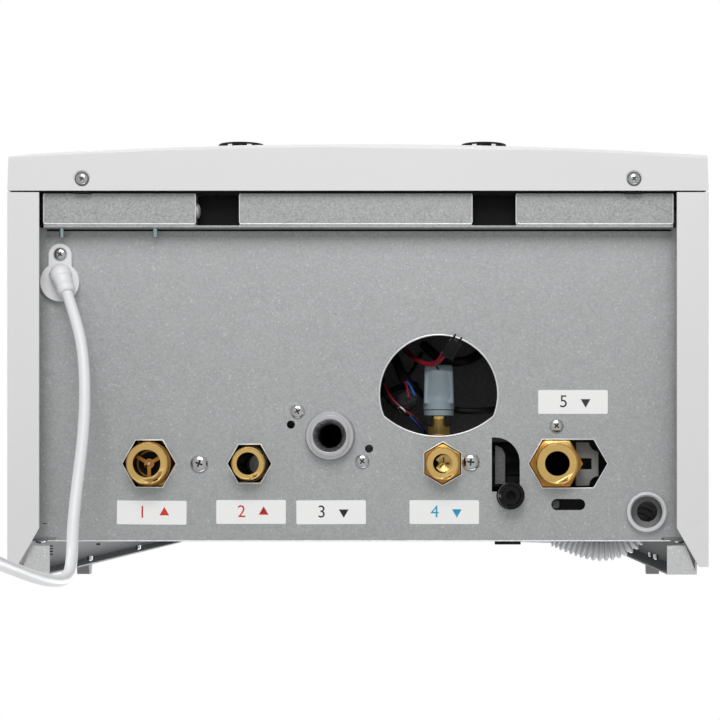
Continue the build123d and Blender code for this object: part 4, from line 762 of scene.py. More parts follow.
# %% Condensate hose
HOSE_ROUTE = [(0.105, -0.034, 0.068), (0.114, -0.034, 0.068), (0.125, -0.034, 0.068),
              (0.139, -0.0275, 0.068), (0.156, -0.0225, 0.068), (0.1715, -0.0260, 0.068),
              (0.1825, -0.0370, 0.0665), (0.1842, -0.0458, 0.0590), (0.1839, -0.0463, 0.0480),
              (0.1839, -0.0463, 0.0360)]
HOSE_VALLEY, HOSE_CREST, HOSE_WALL = 8.3 * MM, 10.2 * MM, 0.9 * MM
RIB_PITCH = 3.3 * MM
RIB = [  # shares of the pitch, and of the way from valley to crest
    (0.0, 0.0), (0.16, 0.0), (0.26, 0.5), (0.36, 0.88), (0.50, 1.0), (0.64, 1.0), (0.78, 0.88), (0.88, 0.5),
    (1.0, 0.0),
]
HOSE_PLAIN = 18.0 * MM


def line_length(curve):
    """Length of a curve as Blender draws it."""
    drawn = curve.evaluated_get(bpy.context.evaluated_depsgraph_get()).to_mesh()
    places = [vertex.co.copy() for vertex in drawn.vertices]
    return sum((after - before).length for before, after in zip(places, places[1:]))


def condensate_hose():
    """One rib, repeated in a row with a plain end below it, and laid along the hose's line."""
    guide = smooth_line("hose_guide", HOSE_ROUTE, 0.0)
    length = line_length(guide)
    ribs = int((length - HOSE_PLAIN) / RIB_PITCH)
    bpy.ops.mesh.primitive_circle_add(vertices=40, radius=HOSE_VALLEY, fill_type="NOTHING")
    hose = start("condensate_hose_ribbed")
    edit("EDGE", "SELECT")
    draw_out([(rise * RIB_PITCH, HOSE_VALLEY + share * (HOSE_CREST - HOSE_VALLEY)) for rise, share in RIB],
             "extrude_edges_move")
    leave()
    modify(hose, "ARRAY", count=ribs, use_relative_offset=False, use_constant_offset=True,
           constant_offset_displace=(0, 0, RIB_PITCH), use_merge_vertices=True, merge_threshold=0.00001)
    edit("EDGE")
    pick(hose, lambda edge: edge.is_boundary and edge.verts[0].co.z < 0.1 * MM, "edges")
    extrude((0, 0, ribs * RIB_PITCH - length), "extrude_edges_move")
    leave()
    bpy.ops.transform.translate(value=(0, 0, length - ribs * RIB_PITCH))
    bpy.ops.object.transform_apply(location=True)
    edit("EDGE")
    face_outwards()
    modify(hose, "CURVE", object=guide, deform_axis="POS_Z")
    modify(hose, "SOLIDIFY", thickness=HOSE_WALL, offset=-1.0)
    smooth(hose, 60)
    bpy.data.objects.remove(guide)
    print("hose", round(length, 3), "m with", ribs, "ribs")
    return settle(hose, "chassis", pale_plastic, "pale_grey_plastic", "condensate_hose")


condensate_hose()


# %% [markdown]
# ## Threads and hexagons
# Each water connection ends in a pipe thread below a hexagon. The construction has the thread's
# outside size as a plain spigot. Here a V-shaped ridge is wound into a screw by the Screw modifier,
# and a Boolean modifier cuts it out of a copy of the fitting, so its bore and inner parts stay. A
# second cutter, a cone turned inside out, bevels the hexagon's corners. Two of the fittings have a
# round body above their thread, and a straight ring cuts that one.

# %% Threaded fittings
THREAD_PITCH = 1.814 * MM          # 14 turns to the inch
THREAD_DEPTH = 1.1 * MM
PIPE_ROW = -0.077
SPIGOT_LOW, HEXAGON_LOW = 0.007, 0.018
ROUND_DEPTH = 10.0 * MM
BRIGHT_MOUTH = 3.0 * MM
SPIDER_LOW, VALVE_DISC_LOW = 0.0175, 0.0260
FITTINGS = {  # across, thread radius, hexagon over its flats, bore, whether its body is turned round
    "heating_supply_fitting": (-0.1335, 0.0132, 0.0280, 0.00875, True),
    "hot_water_fitting": (-0.0697, 0.0105, 0.0226, 0.0071, True),
    "cold_water_fitting": (0.0531, 0.0105, 0.0220, 0.0061, False),
    "heating_return_fitting": (0.1254, 0.0132, 0.0290, 0.00785, False),
}

def thread_cutter(x, radius):
    """The space between the thread's turns: a V wound upwards round the fitting's axis."""
    bpy.ops.mesh.primitive_circle_add(vertices=3, radius=THREAD_DEPTH, fill_type="NGON")
    cutter = start("thread_cutter")
    corners = ((-THREAD_DEPTH, 0), (0.5 * MM, -0.66 * THREAD_PITCH), (0.5 * MM, 0.66 * THREAD_PITCH))
    for vertex, (across, level) in zip(cutter.data.vertices, corners):
        vertex.co = (radius + across, 0, level)
    modify(cutter, "SCREW", angle=2 * pi, screw_offset=THREAD_PITCH, iterations=6, steps=48, render_steps=48,
           use_merge_vertices=False, use_normal_calculate=True)
    cutter.location = spot(x, PIPE_ROW, SPIGOT_LOW - 1.2 * THREAD_PITCH)
    bpy.ops.object.transform_apply(location=True)
    return cutter


def corner_cutter(x, flats):
    """A ring with a slanted inner face that bevels the hexagon's corners from below."""
    inner, outer = flats * 0.5 - 0.2 * MM, flats * 0.70
    bpy.ops.mesh.primitive_cone_add(vertices=64, radius1=inner, radius2=inner + 6 * MM, depth=3.4 * MM,
                                    location=spot(x, PIPE_ROW, HEXAGON_LOW + 1.7 * MM),
                                    end_fill_type="NOTHING")
    cutter = start("corner_cutter")
    bpy.ops.object.transform_apply(location=True)
    edit("EDGE")
    pick(cutter, lambda edge: edge.is_boundary and edge.verts[0].co.z < up(HEXAGON_LOW) + MM, "edges")
    extrude((0, 0, -0.02 * MM), "extrude_edges_move")
    wide = (inner + 6 * MM) / inner
    bpy.ops.transform.resize(value=(wide, wide, 1), center_override=spot(x, PIPE_ROW, HEXAGON_LOW))
    pick(cutter, lambda edge: edge.is_boundary, "edges")
    bpy.ops.mesh.bridge_edge_loops()
    face_outwards()
    return cutter


def ring_cutter(x, inner):
    """A deep straight ring that takes the hexagon's corners off and leaves a round body."""
    middle = HEXAGON_LOW + ROUND_DEPTH / 2
    outer = cylinder("ring_cutter", spot(x, PIPE_ROW, middle - 0.1 * MM), inner * 1.5, ROUND_DEPTH, 72)
    cut(outer, cylinder("ring_core", spot(x, PIPE_ROW, middle), inner, 2 * ROUND_DEPTH, 72))
    return outer


def threaded(node, x, radius, flats, bore, round_body):
    """A fitting with its thread, its cut corners, painted shade in its bore and deep hexagon corners, and
    bronze inside.
    """
    fitting = copied(node, node + "_threaded")
    cut(fitting, thread_cutter(x, radius))
    cut(fitting, ring_cutter(x, flats / 2) if round_body else corner_cutter(x, flats))
    smooth(fitting, 28)
    settle(fitting, "chassis", brass, "brass", node)
    axis = spot(x, PIPE_ROW, 0)

    def away(face):
        return ((face.center.x - axis.x) ** 2 + (face.center.y - axis.y) ** 2) ** 0.5

    def above(face, level):
        return face.center.z - axis.z > level

    # painted shade: the bore's wall above its brass mouth, and the hexagon's corners deep inside
    def dark(face):
        in_bore = bore - 0.6 * MM < away(face) < bore + 0.3 * MM and above(face, SPIGOT_LOW + BRIGHT_MOUTH)
        return in_bore or away(face) > flats / 2 and above(face, HEXAGON_LOW + 4 * MM)

    second_finish(fitting, painted_bore_shade, dark)
    second_finish(fitting, bronze, lambda face: away(face) < bore - 0.6 * MM and above(face, SPIDER_LOW))
    print(node, len(fitting.data.polygons), "faces")


for node, sizes in FITTINGS.items():
    threaded(node, *sizes)
# The check valve deep in its fitting gets the same painted shade; only its lower disc stays bright steel.
second_finish(rounded("check_valve", 0.1 * MM, painted_bore_shade), bright_screw,
              lambda face: face.center.z < up(VALVE_DISC_LOW) - 0.3 * MM)


# %% [markdown]
# ## Stickers
# Five white vinyl stickers name the connections on the real boiler. This one carries plain numbers
# and an arrow for the direction of flow instead, in the same red, blue and black inks. A sticker is
# a rounded plate a fifth of a millimetre thick, and the ink is text and a small triangle, thickened
# by a few hundredths of a millimetre.

# %% Stickers
STICKER_LENGTH, STICKER_WIDTH, STICKER_THICK = 44.2 * MM, 15.2 * MM, 0.2 * MM
PLATE_LOW = 0.020
STICKERS = [  # across, from the wall, turn in degrees, number, ink, flow away from the boiler
    (-0.1318, -0.0459, 0.4, "1", "red", True), (-0.0687, -0.0463, 0.0, "2", "red", True),
    (-0.0178, -0.0461, -0.2, "3", "black", False), (0.0541, -0.0462, 0.0, "4", "blue", False),
    (0.1359, -0.1162, 0.0, "5", "black", False),
]
INK = {"patch": (60, 0.03), "scuff": (3, 0)}
INKS = {
    "red": finish("red_ink", (0.60, 0.03, 0.02), 0.5, **INK),
    "blue": finish("blue_ink", (0.02, 0.34, 0.55), 0.5, **INK),
    "black": finish("black_ink", (0.02, 0.02, 0.02), 0.5, **INK),
}
INK_THICK = 0.03 * MM
FROM_BELOW, FROM_FRONT = pi, pi / 2       # how far figures are tipped back to be read from there


def sticker_plate(number, x, y, turn):
    """A thin plate with rounded corners."""
    bpy.ops.mesh.primitive_plane_add(size=1, location=spot(x, y, PLATE_LOW), rotation=(0, 0, radians(turn)))
    plate = start("sticker_" + number)
    plate.scale = (STICKER_LENGTH, STICKER_WIDTH, 1)
    bpy.ops.object.transform_apply(location=False, rotation=False, scale=True)
    edit("VERT", "SELECT")
    bpy.ops.mesh.bevel(offset=0.9 * MM, affect="VERTICES", segments=5)
    bpy.ops.mesh.select_mode(type="FACE")
    bpy.ops.mesh.select_all(action="SELECT")
    extrude((0, 0, -STICKER_THICK))
    face_outwards()
    settle(plate, "chassis", sticker_vinyl, "sticker", "stickers")


def figures(name, words, place, size, tipped, turn=0.0, thick=INK_THICK):
    """Plain figures as a thin mesh."""
    bpy.ops.object.text_add(location=place, rotation=(tipped, 0, radians(turn)))
    text = start(name)
    text.data.body = words
    text.data.size = size
    text.data.align_x, text.data.align_y = "CENTER", "CENTER"
    text.data.extrude = thick
    return text


def flow_arrow(name, place, size, outwards):
    """A triangle that points out of the boiler or into it."""
    bpy.ops.mesh.primitive_circle_add(vertices=3, radius=size, fill_type="NGON", location=place,
                                      rotation=(pi, 0, 0 if outwards else pi))
    arrow = start(name)
    edit(action="SELECT")
    extrude((0, 0, INK_THICK))
    face_outwards()
    return arrow


for x, y, turn, number, ink, outwards in STICKERS:
    sticker_plate(number, x, y, turn)
    face = PLATE_LOW - STICKER_THICK
    digit = figures("sticker_number_" + number, number, spot(x - 6 * MM, y, face), 11 * MM, FROM_BELOW, turn)
    settle(digit, "chassis", INKS[ink], "sticker")
    arrow = flow_arrow("sticker_arrow_" + number, spot(x + 8 * MM, y, face), 3.6 * MM, outwards)
    settle(arrow, "chassis", INKS[ink], "sticker")
print("stickers:", len(STICKERS))


# %% [markdown]
# ## Wires behind the access opening
# Through the D-shaped opening one sees the loose two-pin plug with its red pair, black sleeves that
# cross behind the tap, and a taped joint where a red and a blue wire come out of their sleeve. Each
# wire is a NURBS line through a few points, with the sleeve's thickness as its bevel.

# %% Loom
WIRE = 0.8 * MM
THIN_WIRE = 0.7 * MM
red_wire = finish("red_wire", (0.24, 0.011, 0.022), 0.38, patch=(120, 0.08), scuff=(3, 0))
blue_wire = finish("blue_wire", (0.02, 0.09, 0.34), 0.38, patch=(120, 0.08), scuff=(3, 0))
tape = finish("cloth_tape", (0.016, 0.016, 0.017), 0.7, patch=(300, 0.4), grain_size=(900, 1), bump=0.0002,
              shine=0.2)

# All points are in millimetres: across, from the wall, above the casing's lower edge.
RED_PAIR = [
    [(52.8, -147.1, 13), (51.2, -143.9, 18), (47.7, -141.3, 24), (43.7, -141.0, 30), (38.3, -143.2, 36),
     (33.4, -146.6, 46), (29.0, -153.0, 66)],
    [(54.6, -145.5, 13), (52.2, -142.3, 17), (48.2, -139.9, 23), (43.7, -139.6, 29), (38.9, -141.8, 35),
     (32.8, -145.2, 46), (27.5, -151.5, 66)],
]
LOOM = [  # name, finish, thickness, points
    ("sleeve_left", black_plastic, 2.9 * MM,
     [(16.0, -158.0, 80), (19.4, -150.3, 70), (23.1, -143.9, 62), (25.7, -137.0, 52), (28.0, -129.9, 44)]),
    ("red_from_sleeve", red_wire, WIRE,
     [(27.5, -131.8, 46), (28.8, -129.5, 44.5), (30.5, -125.8, 40), (31.1, -119.2, 36)]),
    ("blue_from_sleeve", blue_wire, WIRE,
     [(28.5, -132.0, 46), (30.4, -129.5, 44.5), (32.9, -126.3, 40), (35.1, -120.8, 36)]),
    ("sleeve_behind_tap", black_plastic, 2.0 * MM,
     [(23.5, -144.0, 64), (26.7, -137.3, 60), (31.6, -130.2, 58), (36.9, -124.9, 60), (43.3, -119.3, 70),
      (47.0, -116.0, 82)]),
    ("sleeve_edge", black_plastic, 2.3 * MM,
     [(11.5, -142.0, 74), (12.6, -133.0, 60), (14.5, -125.1, 50), (19.0, -118.4, 42), (24.4, -113.4, 38)]),
    ("red_beside_edge", red_wire, THIN_WIRE,
     [(15.0, -129.0, 50), (17.2, -123.6, 44), (21.2, -117.6, 38), (25.8, -113.5, 36)]),
    ("lower_black", black_plastic, 1.2 * MM,
     [(25.5, -112.8, 38), (28.2, -110.2, 38), (33.5, -107.1, 40), (37.6, -102.4, 46), (42.4, -96.1, 56),
      (44.0, -93.0, 66)]),
    ("lower_red", red_wire, THIN_WIRE,
     [(25.8, -113.5, 37), (29.0, -111.0, 37), (34.0, -108.0, 40), (38.4, -103.0, 47)]),
    ("lower_blue", blue_wire, THIN_WIRE,
     [(32.0, -107.7, 38), (36.6, -103.2, 42.5), (41.0, -97.5, 52), (43.2, -94.0, 62)]),
    ("cross_sleeve", black_plastic, 1.9 * MM,
     [(5.0, -120.5, 72), (9.6, -122.0, 70), (17.3, -124.0, 66), (24.9, -127.5, 64), (31.4, -129.1, 70),
      (35.0, -129.6, 80)]),
    ("sleeve_right", black_plastic, 2.1 * MM,
     [(50.0, -114.0, 62), (57.5, -112.9, 57), (64.5, -111.5, 54), (73.6, -111.2, 54), (83.4, -111.8, 56),
      (90.0, -112.8, 60)]),
    ("hose_behind_plug", black_plastic, 3.1 * MM,
     [(40.0, -156.0, 76), (46.6, -149.3, 70), (53.1, -144.6, 66), (60.7, -143.5, 64), (69.4, -144.6, 64),
      (79.3, -150.3, 70), (85.0, -156.0, 78)]),
    ("loop_behind", black_plastic, 1.2 * MM,
     [(39.0, -150.0, 78), (36.8, -146.6, 72), (34.1, -139.8, 66), (30.9, -135.2, 62), (28.5, -133.0, 66)]),
]


def wire(name, points, thickness, material, slot):
    """A round line on the chassis through points in millimetres."""
    route = [tuple(part * MM for part in point) for point in points]
    return settle(smooth_line(name, route, thickness), "chassis", material, slot)


for side, points in enumerate(RED_PAIR):
    wire("red_pair_%d" % side, points, WIRE, red_wire, "red_plastic")
for name, colour, thickness, points in LOOM:
    slot = "black_plastic" if colour is black_plastic else "red_plastic"
    smooth(wire(name, points, thickness, colour, slot), 60)


def loose_plug():
    """Two-pin plug housing: a body with a waist, a latch on top and two shrouded pins."""
    plug = block("loose_plug", (0, 0, 0), (8.4 * MM, 11.0 * MM, 5.6 * MM))
    edit()
    for side, rim_width, depth in ((-1, 0.7, 1.2), (1, 0.9, 3.0)):
        pick(plug, lambda face: side * face.normal.y > 0.9)
        bpy.ops.mesh.inset(thickness=rim_width * MM)
        extrude((0, -depth * MM, 0))
    leave()
    parts = [plug]
    for side in (-1, 1):
        prong = block("prong", (side * 2.2 * MM, -8.0 * MM, 0), (1.9 * MM, 4.6 * MM, 3.2 * MM))
        edit()
        pick(prong, lambda face: face.normal.y < -0.9)
        bpy.ops.transform.resize(value=(0.55, 1, 0.6))
        leave()
        parts.append(prong)
    parts.append(block("latch", (0, -1.5 * MM, -3.4 * MM), (3.0 * MM, 7.0 * MM, 1.2 * MM)))
    plug = joined("loose_plug", parts)
    modify(plug, "BEVEL", width=0.25 * MM, segments=2, limit_method="ANGLE")
    plug.matrix_world = Matrix.Translation(spot(0.0585, -0.1490, 0.0140)) @ \
        Matrix.Rotation(radians(28), 4, "Z") @ Matrix.Rotation(radians(14), 4, "X")
    smooth(plug, 30)
    settle(plug, "chassis", black_plastic, "black_plastic", "wiring_loom")


def taped_joint():
    """The wires' joint: an uneven lump of tape and its tie."""
    bpy.ops.mesh.primitive_uv_sphere_add(segments=28, ring_count=18, radius=1,
                                         location=spot(0.0300, -0.1172, 0.041))
    lump = start("taped_joint")
    lump.scale = (8.2 * MM, 6.4 * MM, 4.2 * MM)
    lump.rotation_euler = (0.2, 0.1, radians(-35))
    bpy.ops.object.transform_apply(rotation=True, scale=True)
    creases = bpy.data.textures.new("tape_creases", "CLOUDS")
    creases.noise_scale = 4 * MM
    modify(lump, "SUBSURF", levels=1, render_levels=1)
    modify(lump, "DISPLACE", texture=creases, strength=3.0 * MM, mid_level=0.5, texture_coords="LOCAL")
    smooth(lump, 40)
    settle(lump, "chassis", tape, "black_plastic")
    tie_turn = (radians(70), 0, radians(40))
    tie = torus("loom_tie", spot(0.0266, -0.1118, 0.038), 2.6 * MM, 0.6 * MM, 32, tie_turn)
    settle(tie, "chassis", pale_plastic, "white_plastic")


loose_plug()
taped_joint()
print("loom:", len(LOOM) + len(RED_PAIR), "wires and sleeves")


# %% [markdown]
# ## Screws
# The plate and the cover are held by bright pan-head screws with a cross recess, which catch the
# light more than anything else down here. One head is shaped from a cylinder whose lower face is
# inset and pushed out into a dome, and two tapered arms are cut out of it for the recess. Every
# screw is a copy of it at its own size, turned as a real screw happens to stop.

# %% Screws
HEAD_MODEL = 10.0 * MM    # the head is modelled large and each copy is scaled down


def recess_arm(turn):
    """One arm of the cross: a box that narrows towards its inner end."""
    size = (1.05 * HEAD_MODEL, 0.22 * HEAD_MODEL, 0.7 * HEAD_MODEL)
    arm = block("recess_arm", (0, 0, -0.35 * HEAD_MODEL), size)
    edit()
    pick(arm, lambda face: face.normal.z > 0.9)
    bpy.ops.transform.resize(value=(0.35, 0.6, 1))
    leave()
    arm.rotation_euler.z = radians(turn)
    return arm


def pan_head():
    """A domed head with a cross recess, facing down, on a shank with a blunt point."""
    head = cylinder("pan_head", (0, 0, -0.08 * HEAD_MODEL), HEAD_MODEL, 0.16 * HEAD_MODEL, 40)
    bpy.ops.object.transform_apply(location=True)
    edit()
    pick(head, lambda face: face.normal.z < -0.9)
    step_in([(0.05, -0.10), (0.12, -0.11), (0.20, -0.09), (0.25, -0.05)], HEAD_MODEL)
    leave()
    for turn in (0, 90):
        cut(head, recess_arm(turn))
    shank = cylinder("shank", (0, 0, 0.8 * HEAD_MODEL), 0.4 * HEAD_MODEL, 1.6 * HEAD_MODEL, 20)
    edit()
    pick(shank, lambda face: face.normal.z > 0.9)
    step_in([(0.12, 0.2)], HEAD_MODEL)
    leave()
    screw = joined("pan_screw", [head, shank])
    smooth(screw, 32)
    return screw


MODEL_SCREW = pan_head()


def screw_at(name, place, radius, turn, facing=(0, 0, -1)):
    """A copy of the pan screw whose head faces a direction; its seat is the place."""
    screw = MODEL_SCREW.copy()
    screw.data = MODEL_SCREW.data.copy()
    screw.name = name
    bpy.context.scene.collection.objects.link(screw)
    screw.matrix_world = Matrix.Translation(place) @ towards(facing, (0, 0, -1)) @ \
        Matrix.Rotation(radians(turn), 4, "Z") @ Matrix.Scale(radius / HEAD_MODEL, 4)
    return screw


def darken_recess(screw, place, radius, facing=(0, 0, -1)):
    """Give the cross recess of a placed screw dark brown painted shade: its steep walls and its floor near
    the axis.
    """
    way = Vector(facing)

    def in_recess(face):
        reach = face.center - place
        depth = reach.dot(way)
        steep = face.normal.dot(way) < 0.35 or depth < 0.1 * radius
        return (reach - depth * way).length < 0.6 * radius and depth > -0.02 * radius and steep

    second_finish(screw, recess_painted_shade, in_recess)


CASING_SCREWS = [  # across, from the wall, seat, head radius, turn, the way it faces
    (-0.1016, -0.0770, 0.0200, 0.0056, 20, (0, 0, -1)), (-0.0391, -0.1102, 0.0200, 0.0045, 65, (0, 0, -1)),
    (0.0020, -0.0785, 0.0200, 0.0045, 38, (0, 0, -1)), (0.0709, -0.0780, 0.0200, 0.0056, 5, (0, 0, -1)),
    (0.1254, -0.1010, 0.0200, 0.0044, 40, (0, 0, -1)), (-0.1896, -0.2097, 0.0178, 0.0041, 35, (0, 0, -1)),
    (-0.1026, -0.2368, 0.0135, 0.0047, 12, (1, 0, 0)),
    (-0.2040, -0.0278, 0.0265, 0.0032, 30, (0, 1, 0)), (0.2045, -0.0278, 0.0265, 0.0032, 55, (0, 1, 0)),
]
for number, (x, y, seat, radius, turn, facing) in enumerate(CASING_SCREWS):
    screw = screw_at("casing_screw_%d" % number, spot(x, y, seat), radius, turn, facing)
    sideways = abs(facing[0]) > 0
    settle(screw, "chassis", channel_zinc if sideways else bright_screw, "screw_steel", "casing_screws")
    darken_recess(screw, spot(x, y, seat), radius, facing)
COVER_SCREW_Y, COVER_SCREW_SEAT, COVER_SCREW_RADIUS = -0.2556, 0.0006, 0.0037
COVER_SCREWS = [(-0.1732, 25), (0.1732, 50)]
for x, turn in COVER_SCREWS:
    seat = spot(x, COVER_SCREW_Y, COVER_SCREW_SEAT)
    screw = screw_at("cover_screw_%d" % turn, seat, COVER_SCREW_RADIUS, turn)
    nut = cylinder("clip_nut", spot(x, COVER_SCREW_Y, 0.00445), 4.6 * MM, 2.5 * MM, 6, (0, 0, radians(turn)))
    modify(nut, "BEVEL", width=0.3 * MM, segments=2)
    whole = joined("cover_screw_%d" % turn, [screw, nut])
    settle(whole, "cover", bright_screw, "screw_steel", "cover_screws")
    darken_recess(whole, seat, COVER_SCREW_RADIUS)
    # A thin dark ring under the head is painted shade of the dimple round the screw.
    washer = cylinder("cover_screw_shade_ring_%d" % turn, spot(x, COVER_SCREW_Y, 0.00045), 4.6 * MM, 0.3 * MM, 40)
    settle(washer, "cover", shield_grey_and_shade, "black_plastic")
bpy.data.objects.remove(MODEL_SCREW)


def round_pin(name, place, radius, length, facing):
    """A pin with a domed end, which starts at the place and points along a direction."""
    pin = cylinder(name, (0, 0, length / 2), radius, length, 28)
    bpy.ops.object.transform_apply(location=True)
    edit()
    pick(pin, lambda face: face.normal.z > 0.9)
    step_in([(0.12, 0.22), (0.25, 0.22), (0.35, 0.12)], radius)
    leave()
    pin.matrix_world = Matrix.Translation(place) @ towards(facing)
    smooth(pin, 40)
    return pin


REARWARDS = (0, 1, 0)
for x in (-0.1880, -0.1288):
    tip = round_pin("screw_tip_%d" % round(-1000 * x), spot(x, RAIL_REAR - 6 * MM, 0.0130), 1.5 * MM, 11 * MM,
                    REARWARDS)
    settle(tip, "chassis", blue_zinc, "screw_steel", "casing_screws")
RIVETS = [  # across, from the wall, height, radius in millimetres
    (-0.1935, -0.0135, 0.168, 1.9), (-0.1935, -0.0135, 0.428, 2.0), (0.1925, -0.0180, 0.064, 1.7),
    (0.1925, -0.0180, 0.110, 1.2),
]
for x, y, height, radius in RIVETS:
    rivet = round_pin("rivet_%d" % round(1000 * height), spot(x, y, height), radius * MM, 2.5 * MM, REARWARDS)
    settle(rivet, "chassis", bright_screw, "screw_steel")
print("screws:", len(CASING_SCREWS) + len(COVER_SCREWS), "rivets:", len(RIVETS))


# %% [markdown]
# ## The lead's strain relief
# Where the lead leaves its gland a soft sleeve keeps it from bending sharply. It swells out of the
# gland as a smooth boss, steps down to a neck and ends in a collar. It is a circle extruded ring by
# ring along this profile, and then laid along the lead's first direction.

# %% Strain relief
RELIEF_BACK = 16.5 * MM
RELIEF_PROFILE = [  # level along the sleeve and radius, in millimetres
    (0.0, 4.2), (1.2, 5.6), (2.8, 6.5), (5.0, 7.0), (7.4, 6.9), (8.6, 6.5), (9.1, 6.1), (13.4, 5.8),
    (14.0, 5.4), (14.8, 5.7), (17.8, 5.6), (18.8, 5.2), (19.8, 4.6), (20.0, 3.4),
]


def strain_relief():
    """The profile as a sleeve along the lead's first direction."""
    first, second = spot(*LEAD_ROUTE[0]), spot(*LEAD_ROUTE[1])
    way = (second - first).normalized()
    profile = [(level * MM, radius * MM) for level, radius in RELIEF_PROFILE]
    bpy.ops.mesh.primitive_circle_add(vertices=40, radius=profile[0][1], fill_type="NGON")
    sleeve = start("strain_relief")
    edit("EDGE", "SELECT")
    draw_out(profile, "extrude_region_move")
    face_outwards()
    modify(sleeve, "BEVEL", width=0.2 * MM, segments=3, limit_method="ANGLE", angle_limit=radians(24))
    sleeve.matrix_world = Matrix.Translation(first - way * RELIEF_BACK) @ towards(way)
    smooth(sleeve, 50)
    settle(sleeve, "chassis", white_rubber, "white_rubber")


strain_relief()
print("strain relief", RELIEF_PROFILE[-1][0], "mm long")


# %% [markdown]
# ## The control face
# The front is out of the photograph's sight, so it carries only what a boiler needs and no words:
# dots round the two knobs, a pointer on each, a pressure dial from 0 to 4, and a lit number in the
# display. The dots follow the cover's bow, which is an arc of known radius.

# %% Control face
COVER_FRONT, COVER_BOW, HALF_WIDTH = -0.2776, 0.0070, 0.2192
BOW_RADIUS = (HALF_WIDTH ** 2 + COVER_BOW ** 2) / (2 * COVER_BOW)
KNOB_X, KNOB_HEIGHT, KNOB_RADIUS, KNOB_FRONT = 0.080, 0.080, 0.015, -0.2881
DIAL_HEIGHT, DIAL_FACE = 0.119, -0.2726
DOT_REACH, INLAY_DEPTH, DISPLAY_FRONT = 0.0195, -0.2822, -0.2769
FIGURE_THICK = 0.05 * MM
mark_ink = finish("grey_print", (0.20, 0.20, 0.21), 0.5, patch=(60, 0.05), scuff=(3, 0))
mark_white = finish("white_print", (0.78, 0.78, 0.78), 0.5, **INK)
dial_green = finish("green_print", (0.05, 0.36, 0.10), 0.5, patch=(60, 0.05), scuff=(3, 0))


def cover_face(x):
    """How far from the wall the bowed cover stands at a place across."""
    return COVER_FRONT + BOW_RADIUS - (BOW_RADIUS ** 2 - x ** 2) ** 0.5


def around(x, y, height, reach, angle):
    """The place at a reach from another one, at an angle from its top."""
    return spot(x + reach * sin(angle), y, height + reach * cos(angle))


def knob_marks(side, body):
    """Dots on the cover round a knob, and a pointer and two inlays on the knob."""
    x = side * KNOB_X
    dots = []
    for step in range(11):
        angle = radians(-140 + 28 * step)
        place = around(x, cover_face(x + DOT_REACH * sin(angle)), KNOB_HEIGHT, DOT_REACH, angle)
        radius = 0.75 * MM if step % 5 else 1.0 * MM
        dots.append(cylinder("dot", place, radius, 0.3 * MM, 16, (pi / 2, 0, 0)))
    settle(joined("scale_%s" % body, dots), "cover", mark_ink, "black_plastic")
    pointer = spot(x, KNOB_FRONT, KNOB_HEIGHT + 7.5 * MM)
    inlays = [small_block("pointer_" + body, pointer, (1.5 * MM, 0.3 * MM, 8 * MM))]
    for lean in (-25, 25):
        angle = radians(180 + lean)
        place = around(x, INLAY_DEPTH, KNOB_HEIGHT, KNOB_RADIUS, angle)
        inlays.append(small_block("inlay", place, (3.2 * MM, 9.0 * MM, 0.3 * MM), (0, angle, 0)))
    settle(joined("marks_" + body, inlays), body, mark_white, "white_plastic")


def dial_ring(name, inner, outer, begin, end, depth, material):
    """A flat sector of a ring on the dial, spun from one edge."""
    bpy.ops.mesh.primitive_plane_add(size=1)
    ring = start(name)
    ring.scale = (outer - inner, depth, 1)
    bpy.ops.object.transform_apply(scale=True)
    edit(action="SELECT")
    bpy.ops.transform.translate(value=((inner + outer) / 2, 0, 0))
    steps = max(4, round(abs(end - begin) / 6))
    bpy.ops.mesh.spin(steps=steps, angle=radians(end - begin), center=(0, 0, 0), axis=(0, 1, 0))
    bpy.ops.mesh.select_all(action="SELECT")
    bpy.ops.mesh.remove_doubles(threshold=0.000001)
    face_outwards()
    ring.matrix_world = Matrix.Translation(spot(0, DIAL_FACE, DIAL_HEIGHT)) @ \
        Matrix.Rotation(radians(begin - 90), 4, "Y")
    settle(ring, "chassis", material, "white_plastic")


def pressure_dial():
    """A white card with ticks, five figures and a green sector."""
    card = cylinder("dial_card", spot(0, DIAL_FACE, DIAL_HEIGHT), 15.1 * MM, 0.4 * MM, 64, (pi / 2, 0, 0))
    modify(card, "BEVEL", width=0.1 * MM, segments=2, limit_method="ANGLE")
    settle(card, "chassis", mark_white, "white_plastic")
    front = DIAL_FACE - 0.25 * MM
    ticks = []
    for step in range(17):
        angle = radians(-130 + 260 * step / 16)
        long = 3.0 * MM if step % 4 == 0 else 1.7 * MM
        place = around(0, front, DIAL_HEIGHT, 13.6 * MM - long / 2, angle)
        ticks.append(small_block("tick", place, (0.4 * MM, 0.15 * MM, long), (0, angle, 0), 0.03 * MM))
    settle(joined("dial_ticks", ticks), "chassis", INKS["black"], "black_plastic")
    for figure in range(5):
        place = around(0, front, DIAL_HEIGHT, 8.6 * MM, radians(-130 + 65 * figure))
        text = figures("dial_%d" % figure, str(figure), place, 3.4 * MM, FROM_FRONT, thick=FIGURE_THICK)
        settle(text, "chassis", INKS["black"], "black_plastic")
    dial_ring("dial_green", 11.4 * MM, 12.4 * MM, -65, 0, 0.6 * MM, dial_green)


